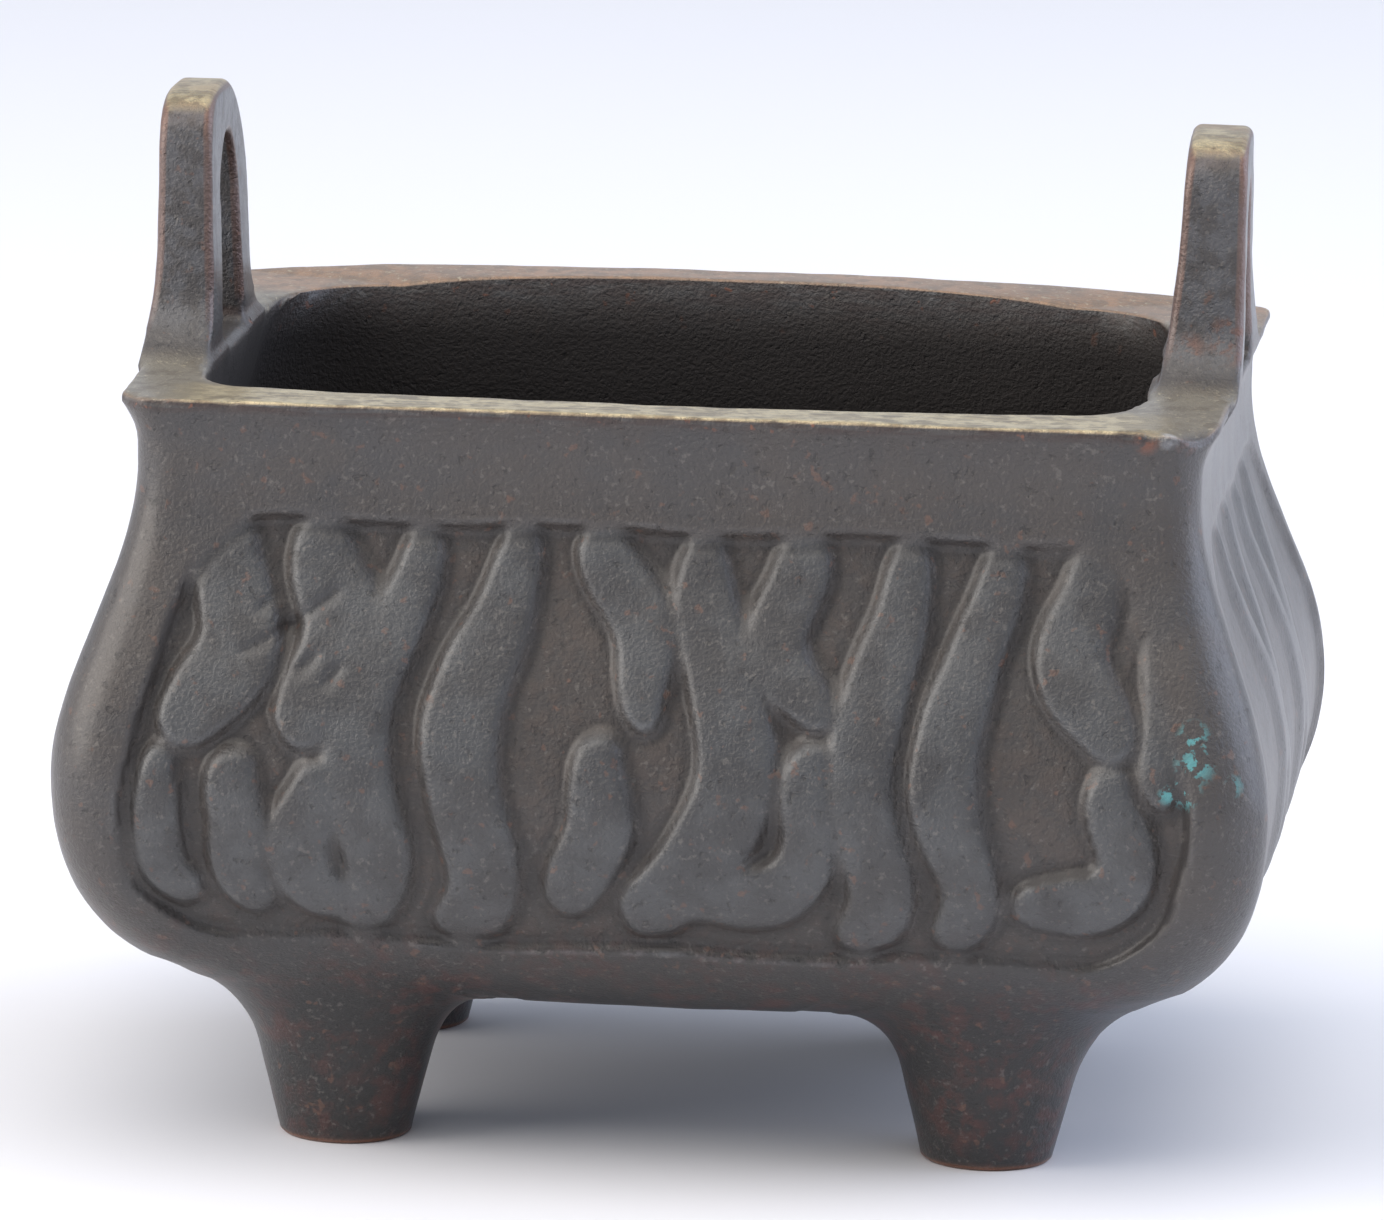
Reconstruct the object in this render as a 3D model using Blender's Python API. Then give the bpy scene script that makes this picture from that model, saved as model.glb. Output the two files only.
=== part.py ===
"""A small footed bronze incense burner, cast in one piece.

The bowl is nearly a rectangle in plan, with rounded corners, a little longer at the back than at the front
and bowed at the back. Its profile runs from a flat lip
through a hollow neck to a low belly, and curves under to a flat underside. Two upright loop handles stand on
the short sides, and four tapering feet carry the bowl. A sunk panel on each side holds a row of raised strokes.

Metres, +Z up. The long sides run along X, the front faces -Y, and the feet stand on Z = 0.
"""
import math

import bmesh
import bpy
from mathutils import Matrix

MM = 0.001

# Lip and neck
RIM_LENGTH = 81 * MM
RIM_DEPTH = 58 * MM
RIM_HEIGHT = 56.3 * MM
RIM_CORNER = 2.6 * MM
LIP_EDGE = 0.7 * MM
LIP_FLARE_ENDS = 1.1 * MM
LIP_FLARE_SIDES = 0.7 * MM
LIP_SWEEP = 3 * MM
NECK_BAND = 1.2 * MM
BACK_LIFT = 0.5 * MM
BACK_RISE = 0.9 * MM
BACK_BOW = 2 * MM
PLAN_TAPER = 0.027
LIP_CAP = 8 * MM

# Belly and underside
BELLY_HEIGHT = 28 * MM
BELLY_SWELL_ENDS = 5.9 * MM
BELLY_SWELL_SIDES = 5.9 * MM
BELLY_CORNER = 5 * MM
UNDERSIDE_HEIGHT = 11 * MM
UNDERSIDE_CURVE = 14.8 * MM
UNDERSIDE_FULLNESS = 2.06
UNDERSIDE_CORNER = 8 * MM

# Walls of the hollow
WALL = 3.6 * MM
FLOOR = 3.5 * MM
RIM_WALL_ENDS = 6.8 * MM
RIM_WALL_SIDES = 4.8 * MM
MOUTH_CORNER = 5 * MM
MOUTH_BACK_CORNER = 8 * MM
MOUTH_BOW = 1.6 * MM
MOUTH_SHIFT = -0.4 * MM
MOUTH_SKEW = 0.025

# Feet
FOOT_SPACING_LENGTH = 47.5 * MM
FOOT_SPACING_DEPTH = 35 * MM
FOOT_RADIUS = 5 * MM
FOOT_EDGE = 0.4 * MM
FOOT_TAPER = 0.235
FOOT_FILLET = 4.5 * MM
FOOT_EMBED = 1 * MM

# Loop handles. Their front shoulders are squarer than the back ones.
HANDLE_WIDTH = 18.4 * MM
HANDLE_SPLAY = 0.9 * MM
HANDLE_LEG = 5.3 * MM
HANDLE_BAR = 4.2 * MM
HANDLE_ARCH = 9 * MM
FRONT_SHOULDER = 4.5
BACK_SHOULDER = 1.8
HANDLE_FILLET = 5.5 * MM
OPENING_FILLET = 1 * MM
HANDLE_EDGE = 0.8 * MM
HANDLE_EMBED = 2.8 * MM
HANDLE_TUCK = 1.6 * MM
SPREAD_HEIGHT = 8 * MM
SPREAD_POWER = 1.5
ROOT_POWER = 0.6

# The two handles differ a little: rise, thickness at crown and root, how far the outer face stands out
# beyond the lip's end, and how far it spreads at the roots of the front and back legs
LEFT_RISE = 19.3 * MM
LEFT_CROWN = 4 * MM
LEFT_ROOT = 4.9 * MM
LEFT_STAND_OUT = -0.7 * MM
LEFT_FRONT_SPREAD = 0.8 * MM
LEFT_BACK_SPREAD = 0.6 * MM
LEFT_HANDLE = (LEFT_RISE, LEFT_CROWN, LEFT_ROOT, LEFT_STAND_OUT, LEFT_FRONT_SPREAD, LEFT_BACK_SPREAD)
RIGHT_RISE = 18.2 * MM
RIGHT_CROWN = 4.4 * MM
RIGHT_ROOT = 6.8 * MM
RIGHT_STAND_OUT = 0 * MM
RIGHT_FRONT_SPREAD = 0.1 * MM
RIGHT_BACK_SPREAD = 0.8 * MM
RIGHT_HANDLE = (RIGHT_RISE, RIGHT_CROWN, RIGHT_ROOT, RIGHT_STAND_OUT, RIGHT_FRONT_SPREAD, RIGHT_BACK_SPREAD)

# Sunk panels
RELIEF_DEPTH = 1.2 * MM
PANEL_BOTTOM = 17.6 * MM
PLAIN_BAND = 8.7 * MM
PANEL_TOP = RIM_HEIGHT - PLAIN_BAND
PANEL_MARGIN = 5.8 * MM
PANEL_CORNER = 5 * MM
STROKE_TIP = 0.64
STROKE_SWAYS = 0.95
CURL_POWER = 1.5

# Dark brown patina
BRONZE_COLOUR = (0.10, 0.085, 0.075, 1)
BRONZE_METALLIC = 0.7
BRONZE_ROUGHNESS = 0.5

# Smoothness of the facets
CORNER_STEPS = 4
BACK_STEPS = 7
FRONT_STEPS = 4
SWELL_STEPS = 8
UNDER_STEPS = 6
FOOT_SIDES = 18
FILLET_STEPS = 4
ROOT_STEPS = 3
ARCH_STEPS = 7
SURFACE_STEPS = 6
SURFACE_STEP = 0.05 * MM
HALVINGS = 30
PANEL_STEPS = 10
STROKE_STEPS = 9
CAP_STEPS = 3
OVERCUT = 4 * MM

# Raised strokes of the front, left to right. Each is a path that starts at its top end and runs down:
# place of the top from the panel's middle as a share of its half-width, then as shares of the panel's
# height the place of the top below the upper edge and the length, the lean and sway of the path in
# degrees, where in its length it starts to curl, the curl in degrees, and as shares of the panel's
# height its width at the top and foot.
FRONT_STROKES = [
    (-0.937, 0.560, 0.330, -8, 14, 0.40, 85, 0.120, 0.140),
    (-0.817, 0.055, 0.450, -12, 30, 1.00, 0, 0.190, 0.230),
    (-0.794, 0.580, 0.330, -4, 18, 0.50, 80, 0.150, 0.150),
    (-0.646, 0.045, 0.455, -4, 32, 1.00, 0, 0.180, 0.215),
    (-0.641, 0.590, 0.345, 0, -14, 0.55, 60, 0.150, 0.165),
    (-0.457, 0.045, 0.925, -2, -22, 0.75, -50, 0.150, 0.190),
    (-0.268, 0.040, 0.935, 0, -24, 0.72, -60, 0.160, 0.215),
    (-0.110, 0.045, 0.400, 16, 24, 1.00, 0, 0.170, 0.150),
    (-0.104, 0.510, 0.370, -10, 22, 1.00, 0, 0.140, 0.190),
    (0.074, 0.040, 0.935, -3, 24, 0.80, -50, 0.160, 0.235),
    (0.258, 0.045, 0.400, 10, -34, 1.00, 0, 0.190, 0.130),
    (0.294, 0.505, 0.540, -28, 40, 0.50, -40, 0.130, 0.190),
    (0.473, 0.045, 0.925, 0, -20, 0.75, -60, 0.150, 0.190),
    (0.645, 0.040, 0.935, 0, -24, 0.75, -60, 0.150, 0.180),
    (0.800, 0.050, 0.420, 12, -28, 1.00, 0, 0.160, 0.185),
    (0.861, 0.540, 0.470, -22, 46, 0.45, -40, 0.140, 0.180),
    (0.948, 0.210, 0.350, 0, 10, 1.00, 0, 0.090, 0.130),
]

# The back and the short sides have plainer rows: even swaying strokes, clear of the panel's edges
BACK_COUNT = 9
BACK_PITCH = 7.4 * MM
SIDE_COUNT = 4
SIDE_PITCH = 9 * MM
PLAIN_STROKE_CLEARANCE = 2 * MM
PLAIN_STROKE_WIDTH = 4.4 * MM
PLAIN_STROKE_SWAY = 24
PLAIN_STROKE_CURL_START = 0.75
PLAIN_STROKE_CURL = 45


def clear_scene():
    for old in list(bpy.data.objects):
        bpy.data.objects.remove(old, do_unlink=True)


def make_collection(name):
    group = bpy.data.collections.new(name)
    bpy.context.scene.collection.children.link(group)
    return group


def make_object(name, bm, group):
    """Turn a bmesh into a named object with outward faces, standing on the shared standing point."""
    bmesh.ops.recalc_face_normals(bm, faces=bm.faces)
    if bm.calc_volume(signed=True) < 0:
        bmesh.ops.reverse_faces(bm, faces=bm.faces)
    mesh = bpy.data.meshes.new(name)
    bm.to_mesh(mesh)
    bm.free()
    made = bpy.data.objects.new(name, mesh)
    made.parent = bpy.data.objects["standing_point"]
    group.objects.link(made)
    return made


def make_tool(name, bm, group):
    """A solid that only shapes another one, by joining or cutting."""
    tool = make_object(name, bm, group)
    tool.hide_render = True
    tool.display_type = "WIRE"
    return tool


def combine(target, operation, other):
    """Add a Boolean modifier that joins or cuts with another object."""
    step = target.modifiers.new(operation.title() + " " + other.name, "BOOLEAN")
    step.operation = operation
    step.solver = "EXACT"
    step.object = other
    return step


def mix(start, end, share):
    return start + (end - start) * share


# The bowl's profile

def neck_bottom():
    return RIM_HEIGHT - LIP_EDGE - LIP_SWEEP - NECK_BAND


def swell_share(height):
    """0 at the neck, 1 at the belly, along an S-curve."""
    share = (neck_bottom() - height) / (neck_bottom() - BELLY_HEIGHT)
    share = min(max(share, 0.0), 1.0)
    return (1 - math.cos(math.pi * share)) / 2


def inset_at(height, flare, swell, underside):
    """How far the bowl's side stands in from the edge of the lip at a height."""
    lip_under = RIM_HEIGHT - LIP_EDGE
    if height >= lip_under:
        return 0.0
    if height >= lip_under - LIP_SWEEP:
        return flare * math.sin(math.pi / 2 * (lip_under - height) / LIP_SWEEP)
    if height >= BELLY_HEIGHT:
        return flare - swell * swell_share(height)
    share = min((BELLY_HEIGHT - height) / (BELLY_HEIGHT - underside), 1.0)
    round_under = (1 - share ** UNDERSIDE_FULLNESS) ** (1 / UNDERSIDE_FULLNESS)
    return flare - swell + UNDERSIDE_CURVE * (1 - round_under)


def inset_ends(height, underside=UNDERSIDE_HEIGHT):
    return inset_at(height, LIP_FLARE_ENDS, BELLY_SWELL_ENDS, underside)


def inset_sides(height, underside=UNDERSIDE_HEIGHT):
    return inset_at(height, LIP_FLARE_SIDES, BELLY_SWELL_SIDES, underside)


def corner_at(height):
    """Radius of the bowl's upright corners at a height."""
    if height >= BELLY_HEIGHT:
        return mix(BELLY_CORNER, RIM_CORNER, (height - BELLY_HEIGHT) / (RIM_HEIGHT - BELLY_HEIGHT))
    share = (BELLY_HEIGHT - height) / (BELLY_HEIGHT - UNDERSIDE_HEIGHT)
    return mix(BELLY_CORNER, UNDERSIDE_CORNER, min(share, 1.0) ** 2)


def half_length(height):
    return RIM_LENGTH / 2 - inset_ends(height)


def half_depth(height):
    return RIM_DEPTH / 2 - inset_sides(height)


def tapered(x, y, taper=PLAN_TAPER):
    """A place along the bowl, further out towards the back and further in towards the front."""
    return x * (1 + taper * y / (RIM_DEPTH / 2))


def front_half_length(height):
    return tapered(half_length(height), -half_depth(height))


def back_half_length(height):
    return tapered(half_length(height), half_depth(height))


def rounded_section(height, length, depth, corners, bows, taper=PLAN_TAPER, lip=0.0):
    """One closed outline of the bowl, counterclockwise from the right end of the front.

    Corners and bows are those of the front and of the back. The lip's share lifts the outline's back.
    """
    points = []

    def add(x, y, rise=0.0):
        lift = BACK_LIFT * (y / RIM_DEPTH + 0.5)
        points.append((tapered(x, y, taper), y, height + lip * (lift + rise)))

    for along, across, start in ((1, -1, -90), (1, 1, 0), (-1, 1, 90), (-1, -1, 180)):
        corner = corners[across > 0]
        for step in range(CORNER_STEPS + 1):
            angle = math.radians(start + 90 * step / CORNER_STEPS)
            add(along * (length - corner) + corner * math.cos(angle),
                across * (depth - corner) + corner * math.sin(angle))
        if along == across:
            back = across > 0
            steps = (FRONT_STEPS if bows[0] else 1, BACK_STEPS)[back]
            for step in range(1, steps):
                share = 1 - 2 * step / steps
                rise = BACK_RISE * (1 - share ** 4) if back else 0.0
                add(along * share * (length - corner), across * (depth + bows[back] * (1 - share ** 2)), rise)
    return points


def loft(bm, sections):
    """Join closed outlines of equal count into one capped solid."""
    rings = [[bm.verts.new(point) for point in section] for section in sections]
    for lower, upper in zip(rings, rings[1:]):
        for index in range(len(lower)):
            ahead = (index + 1) % len(lower)
            bm.faces.new((lower[index], lower[ahead], upper[ahead], upper[index]))
    bm.faces.new(rings[0])
    bm.faces.new(rings[-1])


def profile_heights(underside):
    """Heights of the outlines that the bowl is lofted through, from the underside up."""
    heights = []
    for step in range(UNDER_STEPS):
        drop = math.cos(math.pi / 2 * step / UNDER_STEPS)
        heights.append(BELLY_HEIGHT - (BELLY_HEIGHT - underside) * drop)
    for step in range(SWELL_STEPS + 1):
        heights.append(mix(BELLY_HEIGHT, neck_bottom(), step / SWELL_STEPS))
    lip_under = RIM_HEIGHT - LIP_EDGE
    heights += [lip_under - LIP_SWEEP, lip_under - LIP_SWEEP / 3, lip_under]
    return heights


def outer_section(height, inset=0.0):
    lip = max(0.0, (height - neck_bottom()) / (RIM_HEIGHT - LIP_EDGE - neck_bottom()))
    corner = corner_at(height) - inset
    return rounded_section(height, half_length(height) - inset, half_depth(height) - inset,
                           (corner, corner), (0.0, BACK_BOW), PLAN_TAPER, min(lip, 1.0))


def add_bowl(group):
    """The whole form of the bowl. Its last outline carries the lip's top inwards, past the mouth's edge."""
    sections = [outer_section(height) for height in profile_heights(UNDERSIDE_HEIGHT) + [RIM_HEIGHT]]
    sections.append(rounded_section(RIM_HEIGHT, RIM_LENGTH / 2 - LIP_CAP, RIM_DEPTH / 2 - LIP_CAP,
                                    (RIM_CORNER, RIM_CORNER), (0.0, BACK_BOW), PLAN_TAPER, 1.0))
    bm = bmesh.new()
    loft(bm, sections)
    return make_object("censer", bm, group)


def hollow_section(height):
    """The inside of the bowl: the outer form less its wall, bowed at the front too.

    The mouth itself isn't tapered. It is a little skewed and to the left.
    """
    floor = UNDERSIDE_HEIGHT + FLOOR
    lip = min(max(0.0, (height - neck_bottom()) / (RIM_HEIGHT - neck_bottom())), 1.0)
    level = min(height, RIM_HEIGHT)
    length = RIM_LENGTH / 2 - inset_ends(level, floor) - mix(WALL, RIM_WALL_ENDS, lip)
    depth = RIM_DEPTH / 2 - inset_sides(level, floor) - mix(WALL, RIM_WALL_SIDES, lip)
    section = rounded_section(height, length, depth - MOUTH_BOW / 2, (MOUTH_CORNER, MOUTH_BACK_CORNER),
                              (MOUTH_BOW, BACK_BOW), PLAN_TAPER * (1 - lip))
    return [(x + lip * (MOUTH_SHIFT + MOUTH_SKEW * y), y + MOUTH_BOW / 2, z) for x, y, z in section]


def add_hollow(group):
    floor = UNDERSIDE_HEIGHT + FLOOR
    bm = bmesh.new()
    loft(bm, [hollow_section(height) for height in profile_heights(floor) + [RIM_HEIGHT, RIM_HEIGHT + OVERCUT]])
    return make_tool("hollow", bm, group)


# Feet

def underside_height(x, y):
    """Height of the bowl's outer surface above a point of its plan."""
    low, high = UNDERSIDE_HEIGHT, BELLY_HEIGHT
    for _ in range(HALVINGS):
        middle = (low + high) / 2
        corner = corner_at(middle)
        over_x = max(abs(x) - tapered(half_length(middle), y) + corner, 0.0)
        over_y = max(abs(y) - half_depth(middle) + corner, 0.0)
        if math.hypot(over_x, over_y) < corner:
            high = middle
        else:
            low = middle
    return high


def foot_line(x, y, angle):
    """Radius and height along one side of a foot, from the ground up into the bowl.

    The fillet leaves the foot's straight side, turns where that side meets the tangent of the bowl's
    surface, and ends on the bowl a fillet's length away from the foot.
    """
    def surface(radius):
        return underside_height(x + radius * math.cos(angle), y + radius * math.sin(angle))

    def slope(radius):
        return (surface(radius + SURFACE_STEP) - surface(radius)) / SURFACE_STEP

    end = FOOT_RADIUS + FOOT_TAPER * UNDERSIDE_HEIGHT
    for _ in range(SURFACE_STEPS):
        end += FOOT_FILLET / SURFACE_STEPS / math.hypot(1, slope(end))
    end_height = surface(end)
    turn_height = (end_height - slope(end) * (end - FOOT_RADIUS)) / (1 - slope(end) * FOOT_TAPER)
    turn = FOOT_RADIUS + FOOT_TAPER * turn_height
    start_height = turn_height - FOOT_FILLET
    start = FOOT_RADIUS + FOOT_TAPER * start_height
    line = [(FOOT_RADIUS - FOOT_EDGE, 0.0), (FOOT_RADIUS, FOOT_EDGE)]
    for step in range(FILLET_STEPS + 1):
        share = step / FILLET_STEPS
        radius = mix(mix(start, turn, share), mix(turn, end, share), share)
        height = mix(mix(start_height, turn_height, share), mix(turn_height, end_height, share), share)
        line.append((radius, height))
    line.append((end, end_height + FOOT_EMBED))
    return line


def add_foot(name, x, y, group):
    angles = [2 * math.pi * side / FOOT_SIDES for side in range(FOOT_SIDES)]
    lines = [foot_line(x, y, angle) for angle in angles]
    sections = []
    for level in range(len(lines[0])):
        ring = []
        for angle, line in zip(angles, lines):
            radius, height = line[level]
            ring.append((x + radius * math.cos(angle), y + radius * math.sin(angle), height))
        sections.append(ring)
    bm = bmesh.new()
    loft(bm, sections)
    return make_tool(name, bm, group)


# Loop handles

def fillet_at(height, radius):
    """How far a root's fillet spreads at a height above the rim."""
    rest = max(radius - height, 0.0)
    return radius - math.sqrt(radius ** 2 - rest ** 2)


def arch_line(rise, half_width, arch, fillet, outward, shoulder):
    """One half of an arch, from its root up to its crown, as distance from the middle and height.

    A shoulder of 2 is an ellipse, and more is squarer.
    """
    line = []
    spring = rise - arch
    for step in range(ROOT_STEPS + 1):
        height = fillet * step / ROOT_STEPS
        width = half_width + HANDLE_SPLAY * (1 - height / spring)
        line.append((width + outward * fillet_at(height, fillet), height))
    for step in range(ARCH_STEPS + 1):
        angle = math.pi / 2 * step / ARCH_STEPS
        width = half_width * max(math.cos(angle), 0.0) ** (2 / shoulder)
        line.append((width, spring + arch * math.sin(angle) ** (2 / shoulder)))
    return line


def full_arch(rise, half_width, arch, fillet, outward, front_shoulder, back_shoulder):
    """An arch from the embedded root of its back leg over the crown to that of its front leg."""
    back = arch_line(rise, half_width, arch, fillet, outward, back_shoulder)
    front = [(-y, z) for y, z in arch_line(rise, half_width, arch, fillet, outward, front_shoulder)]
    line = back + list(reversed(front[:-1]))
    return [(line[0][0], -HANDLE_EMBED)] + line + [(line[-1][0], -HANDLE_EMBED)]


def add_handle(name, side, sizes, group):
    """An upright loop: an arch with an arched opening, its legs let into the lip, its edges worn round."""
    rise, crown_thickness, root_thickness, stand_out, front_spread, back_spread = sizes
    half_width = HANDLE_WIDTH / 2
    outline = full_arch(rise, half_width, HANDLE_ARCH, HANDLE_FILLET, 1, FRONT_SHOULDER, BACK_SHOULDER)
    opening = full_arch(rise - HANDLE_BAR, half_width - HANDLE_LEG, HANDLE_ARCH - HANDLE_BAR, OPENING_FILLET,
                        -1, BACK_SHOULDER, BACK_SHOULDER)
    bm = bmesh.new()
    face = bm.faces.new([bm.verts.new((0, y, z)) for y, z in outline + list(reversed(opening))])
    raised = bmesh.ops.extrude_face_region(bm, geom=[face])["geom"]
    inner_side = {vert for vert in raised if isinstance(vert, bmesh.types.BMVert)}
    for vert in bm.verts:
        below = min(vert.co.z, 0.0) / HANDLE_EMBED
        low = max(1 - max(vert.co.z, 0.0) / SPREAD_HEIGHT, 0.0)
        spread = mix(front_spread, back_spread, min(max(vert.co.y / half_width, 0.0), 1.0)) * low ** SPREAD_POWER
        outer_side = stand_out + spread + HANDLE_TUCK * below
        if vert in inner_side:
            share = min(max(vert.co.z / rise, 0.0), 1.0) ** ROOT_POWER
            thickness = mix(root_thickness, crown_thickness, share)
            outer_side = stand_out - thickness - HANDLE_TUCK * below
        vert.co.x = RIM_LENGTH / 2 + outer_side
    worn = []
    for edge in bm.edges:
        first, second = edge.verts
        around_one_side = (first in inner_side) == (second in inner_side)
        if around_one_side and max(first.co.z, second.co.z) > 0:
            worn.append(edge)
    bmesh.ops.bevel(bm, geom=worn, offset=HANDLE_EDGE, offset_type="OFFSET", segments=2, profile=0.5,
                    affect="EDGES", material=-1, clamp_overlap=True)
    bm.transform(Matrix.Translation((0, 0, RIM_HEIGHT)) @ Matrix.Diagonal((side, 1, 1, 1)))
    return make_tool(name, bm, group)


# Panels and strokes

def panel_outline(half_width):
    """The panel's border: it follows the bowl's side profile, with rounded corners."""
    edge = []
    for step in range(PANEL_STEPS + 1):
        share = (1 - math.cos(math.pi * step / PANEL_STEPS)) / 2
        height = mix(PANEL_BOTTOM, PANEL_TOP, share)
        near = PANEL_CORNER - max(min(height - PANEL_BOTTOM, PANEL_TOP - height, PANEL_CORNER), 0.0)
        corner = PANEL_CORNER - math.sqrt(PANEL_CORNER ** 2 - near ** 2)
        edge.append((half_width(height) - PANEL_MARGIN - corner, height))
    return edge + [(-x, height) for x, height in reversed(edge)]


def stroke_path(x, top, length, lean, sway, curl_start, curl):
    """Points down the middle of a stroke. Its direction sways, then curls."""
    points = [(x, top)]
    step_length = length / STROKE_STEPS
    for step in range(STROKE_STEPS):
        share = (step + 0.5) / STROKE_STEPS
        turned = lean + sway * math.sin(2 * math.pi * STROKE_SWAYS * share)
        if share > curl_start:
            turned += curl * ((share - curl_start) / (1 - curl_start)) ** CURL_POWER
        x += step_length * math.sin(math.radians(turned))
        top -= step_length * math.cos(math.radians(turned))
        points.append((x, top))
    return points


def stroke_width(share, top_width, foot_width):
    """Width along a stroke, drawn in towards both ends."""
    swell = math.sqrt(max(math.sin(math.pi * share), 0.0))
    return mix(top_width, foot_width, share) * mix(STROKE_TIP, 1.0, swell)


def stroke_outline(path, top_width, foot_width):
    """Closed outline of a stroke with round ends."""
    count = len(path)
    left, right, headings = [], [], []
    for index, (x, height) in enumerate(path):
        before = path[max(index - 1, 0)]
        after = path[min(index + 1, count - 1)]
        heading = math.atan2(after[1] - before[1], after[0] - before[0])
        half = stroke_width(index / (count - 1), top_width, foot_width) / 2
        left.append((x - half * math.sin(heading), height + half * math.cos(heading)))
        right.append((x + half * math.sin(heading), height - half * math.cos(heading)))
        headings.append((heading, half))

    def round_end(centre, heading, half):
        angles = [heading + math.pi / 2 - math.pi * step / CAP_STEPS for step in range(1, CAP_STEPS)]
        return [(centre[0] + half * math.cos(a), centre[1] + half * math.sin(a)) for a in angles]

    foot_end = round_end(path[-1], headings[-1][0], headings[-1][1])
    top_end = round_end(path[0], headings[0][0] + math.pi, headings[0][1])
    return left + foot_end + list(reversed(right)) + top_end


def add_prism(name, outline, start, reach, turn, group):
    """A flat outline of width and height, pushed out sideways from near the bowl's middle."""
    bm = bmesh.new()
    face = bm.faces.new([bm.verts.new((x, -start, height)) for x, height in outline])
    raised = bmesh.ops.extrude_face_region(bm, geom=[face])["geom"]
    moved = [vert for vert in raised if isinstance(vert, bmesh.types.BMVert)]
    bmesh.ops.translate(bm, verts=moved, vec=(0, start - reach, 0))
    bm.transform(Matrix.Rotation(turn, 4, "Z"))
    return make_tool(name, bm, group)


def front_strokes():
    half = front_half_length(BELLY_HEIGHT) - PANEL_MARGIN
    tall = PANEL_TOP - PANEL_BOTTOM
    paths = []
    for x, drop, length, lean, sway, curl_start, curl, top_width, foot_width in FRONT_STROKES:
        path = stroke_path(x * half, PANEL_TOP - drop * tall, length * tall, lean, sway, curl_start, curl)
        paths.append(stroke_outline(path, top_width * tall, foot_width * tall))
    return paths


def plain_strokes(count, pitch):
    length = PANEL_TOP - PANEL_BOTTOM - 2 * PLAIN_STROKE_CLEARANCE
    paths = []
    for index in range(count):
        x = (index - (count - 1) / 2) * pitch
        bend = -1 if index % 2 else 1
        path = stroke_path(x, PANEL_TOP - PLAIN_STROKE_CLEARANCE, length, 0, bend * PLAIN_STROKE_SWAY,
                           PLAIN_STROKE_CURL_START, bend * PLAIN_STROKE_CURL)
        paths.append(stroke_outline(path, PLAIN_STROKE_WIDTH, PLAIN_STROKE_WIDTH))
    return paths


def add_ground(group):
    """The bowl's form less the depth of the relief: its surface is the ground of the panels."""
    bm = bmesh.new()
    inner = [height for height in profile_heights(UNDERSIDE_HEIGHT) if PANEL_BOTTOM < height < PANEL_TOP]
    heights = [PANEL_BOTTOM - OVERCUT] + inner + [PANEL_TOP + RELIEF_DEPTH]
    loft(bm, [outer_section(height, RELIEF_DEPTH) for height in heights])
    return make_tool("panel_ground", bm, group)


def add_panel(name, half_width, reach, turn, outlines, ground, group):
    """The metal that is sunk away on one side, with the strokes left standing."""
    panel = add_prism(name, panel_outline(half_width), OVERCUT, reach, turn, group)
    for index, outline in enumerate(outlines):
        stroke = add_prism(f"{name}_stroke_{index + 1}", outline, 0, reach + OVERCUT, turn, group)
        combine(panel, "DIFFERENCE", stroke)
    combine(panel, "DIFFERENCE", ground)
    return panel


def bronze():
    material = bpy.data.materials.new("patinated_bronze")
    material.use_nodes = True
    shader = material.node_tree.nodes["Principled BSDF"]
    shader.inputs["Base Color"].default_value = BRONZE_COLOUR
    shader.inputs["Metallic"].default_value = BRONZE_METALLIC
    shader.inputs["Roughness"].default_value = BRONZE_ROUGHNESS
    return material


def main():
    clear_scene()
    parts = make_collection("incense_burner")
    tools = make_collection("shaping_solids")
    standing_point = bpy.data.objects.new("standing_point", None)
    standing_point.location.y = -BACK_BOW / 2
    parts.objects.link(standing_point)
    censer = add_bowl(parts)
    for along in (-1, 1):
        for across in (-1, 1):
            side = ("left", "right")[along > 0] + ("_front", "_back")[across > 0]
            foot = add_foot("foot_" + side, along * FOOT_SPACING_LENGTH / 2,
                            across * FOOT_SPACING_DEPTH / 2, tools)
            combine(censer, "UNION", foot)
    combine(censer, "DIFFERENCE", add_hollow(tools))
    ground = add_ground(tools)
    long_reach = RIM_DEPTH / 2 + BELLY_SWELL_SIDES + BACK_BOW + OVERCUT
    short_reach = tapered(RIM_LENGTH / 2 + BELLY_SWELL_ENDS, RIM_DEPTH / 2) + OVERCUT
    panels = (
        ("panel_front", front_half_length, long_reach, 0, front_strokes()),
        ("panel_back", back_half_length, long_reach, math.pi, plain_strokes(BACK_COUNT, BACK_PITCH)),
        ("panel_right", half_depth, short_reach, math.pi / 2, plain_strokes(SIDE_COUNT, SIDE_PITCH)),
        ("panel_left", half_depth, short_reach, -math.pi / 2, plain_strokes(SIDE_COUNT, SIDE_PITCH)),
    )
    for name, half_width, reach, turn, outlines in panels:
        combine(censer, "DIFFERENCE", add_panel(name, half_width, reach, turn, outlines, ground, tools))
    combine(censer, "UNION", add_handle("handle_left", -1, LEFT_HANDLE, tools))
    combine(censer, "UNION", add_handle("handle_right", 1, RIGHT_HANDLE, tools))
    censer.data.materials.append(bronze())


main()
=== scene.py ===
"""Looks of a small footed incense burner, cast in bronze in one piece.

One fine casting takes the place of the faceted solid and keeps its form. Its skin is a sheet wrapped around
the bowl, over the lip and down the inside, with soft relief in the sunk panels. Feet and loop handles are
united with it. One dark patina covers it all and is rubbed through to bare metal where hands and cloths
reach. Painted shade darkens its grooves, creases, low parts and inside; painted highlights partly lighten
its outward edges, raised strokes and the lip's flat, and make one glint at a corner of the lip.

Lengths are in metres, written through MM, and angles in degrees. The front faces -Y and the feet stand on
Z = 0.
"""
import math

import bmesh
import bpy
import numpy as np
from mathutils import Matrix, Vector, noise


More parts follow.
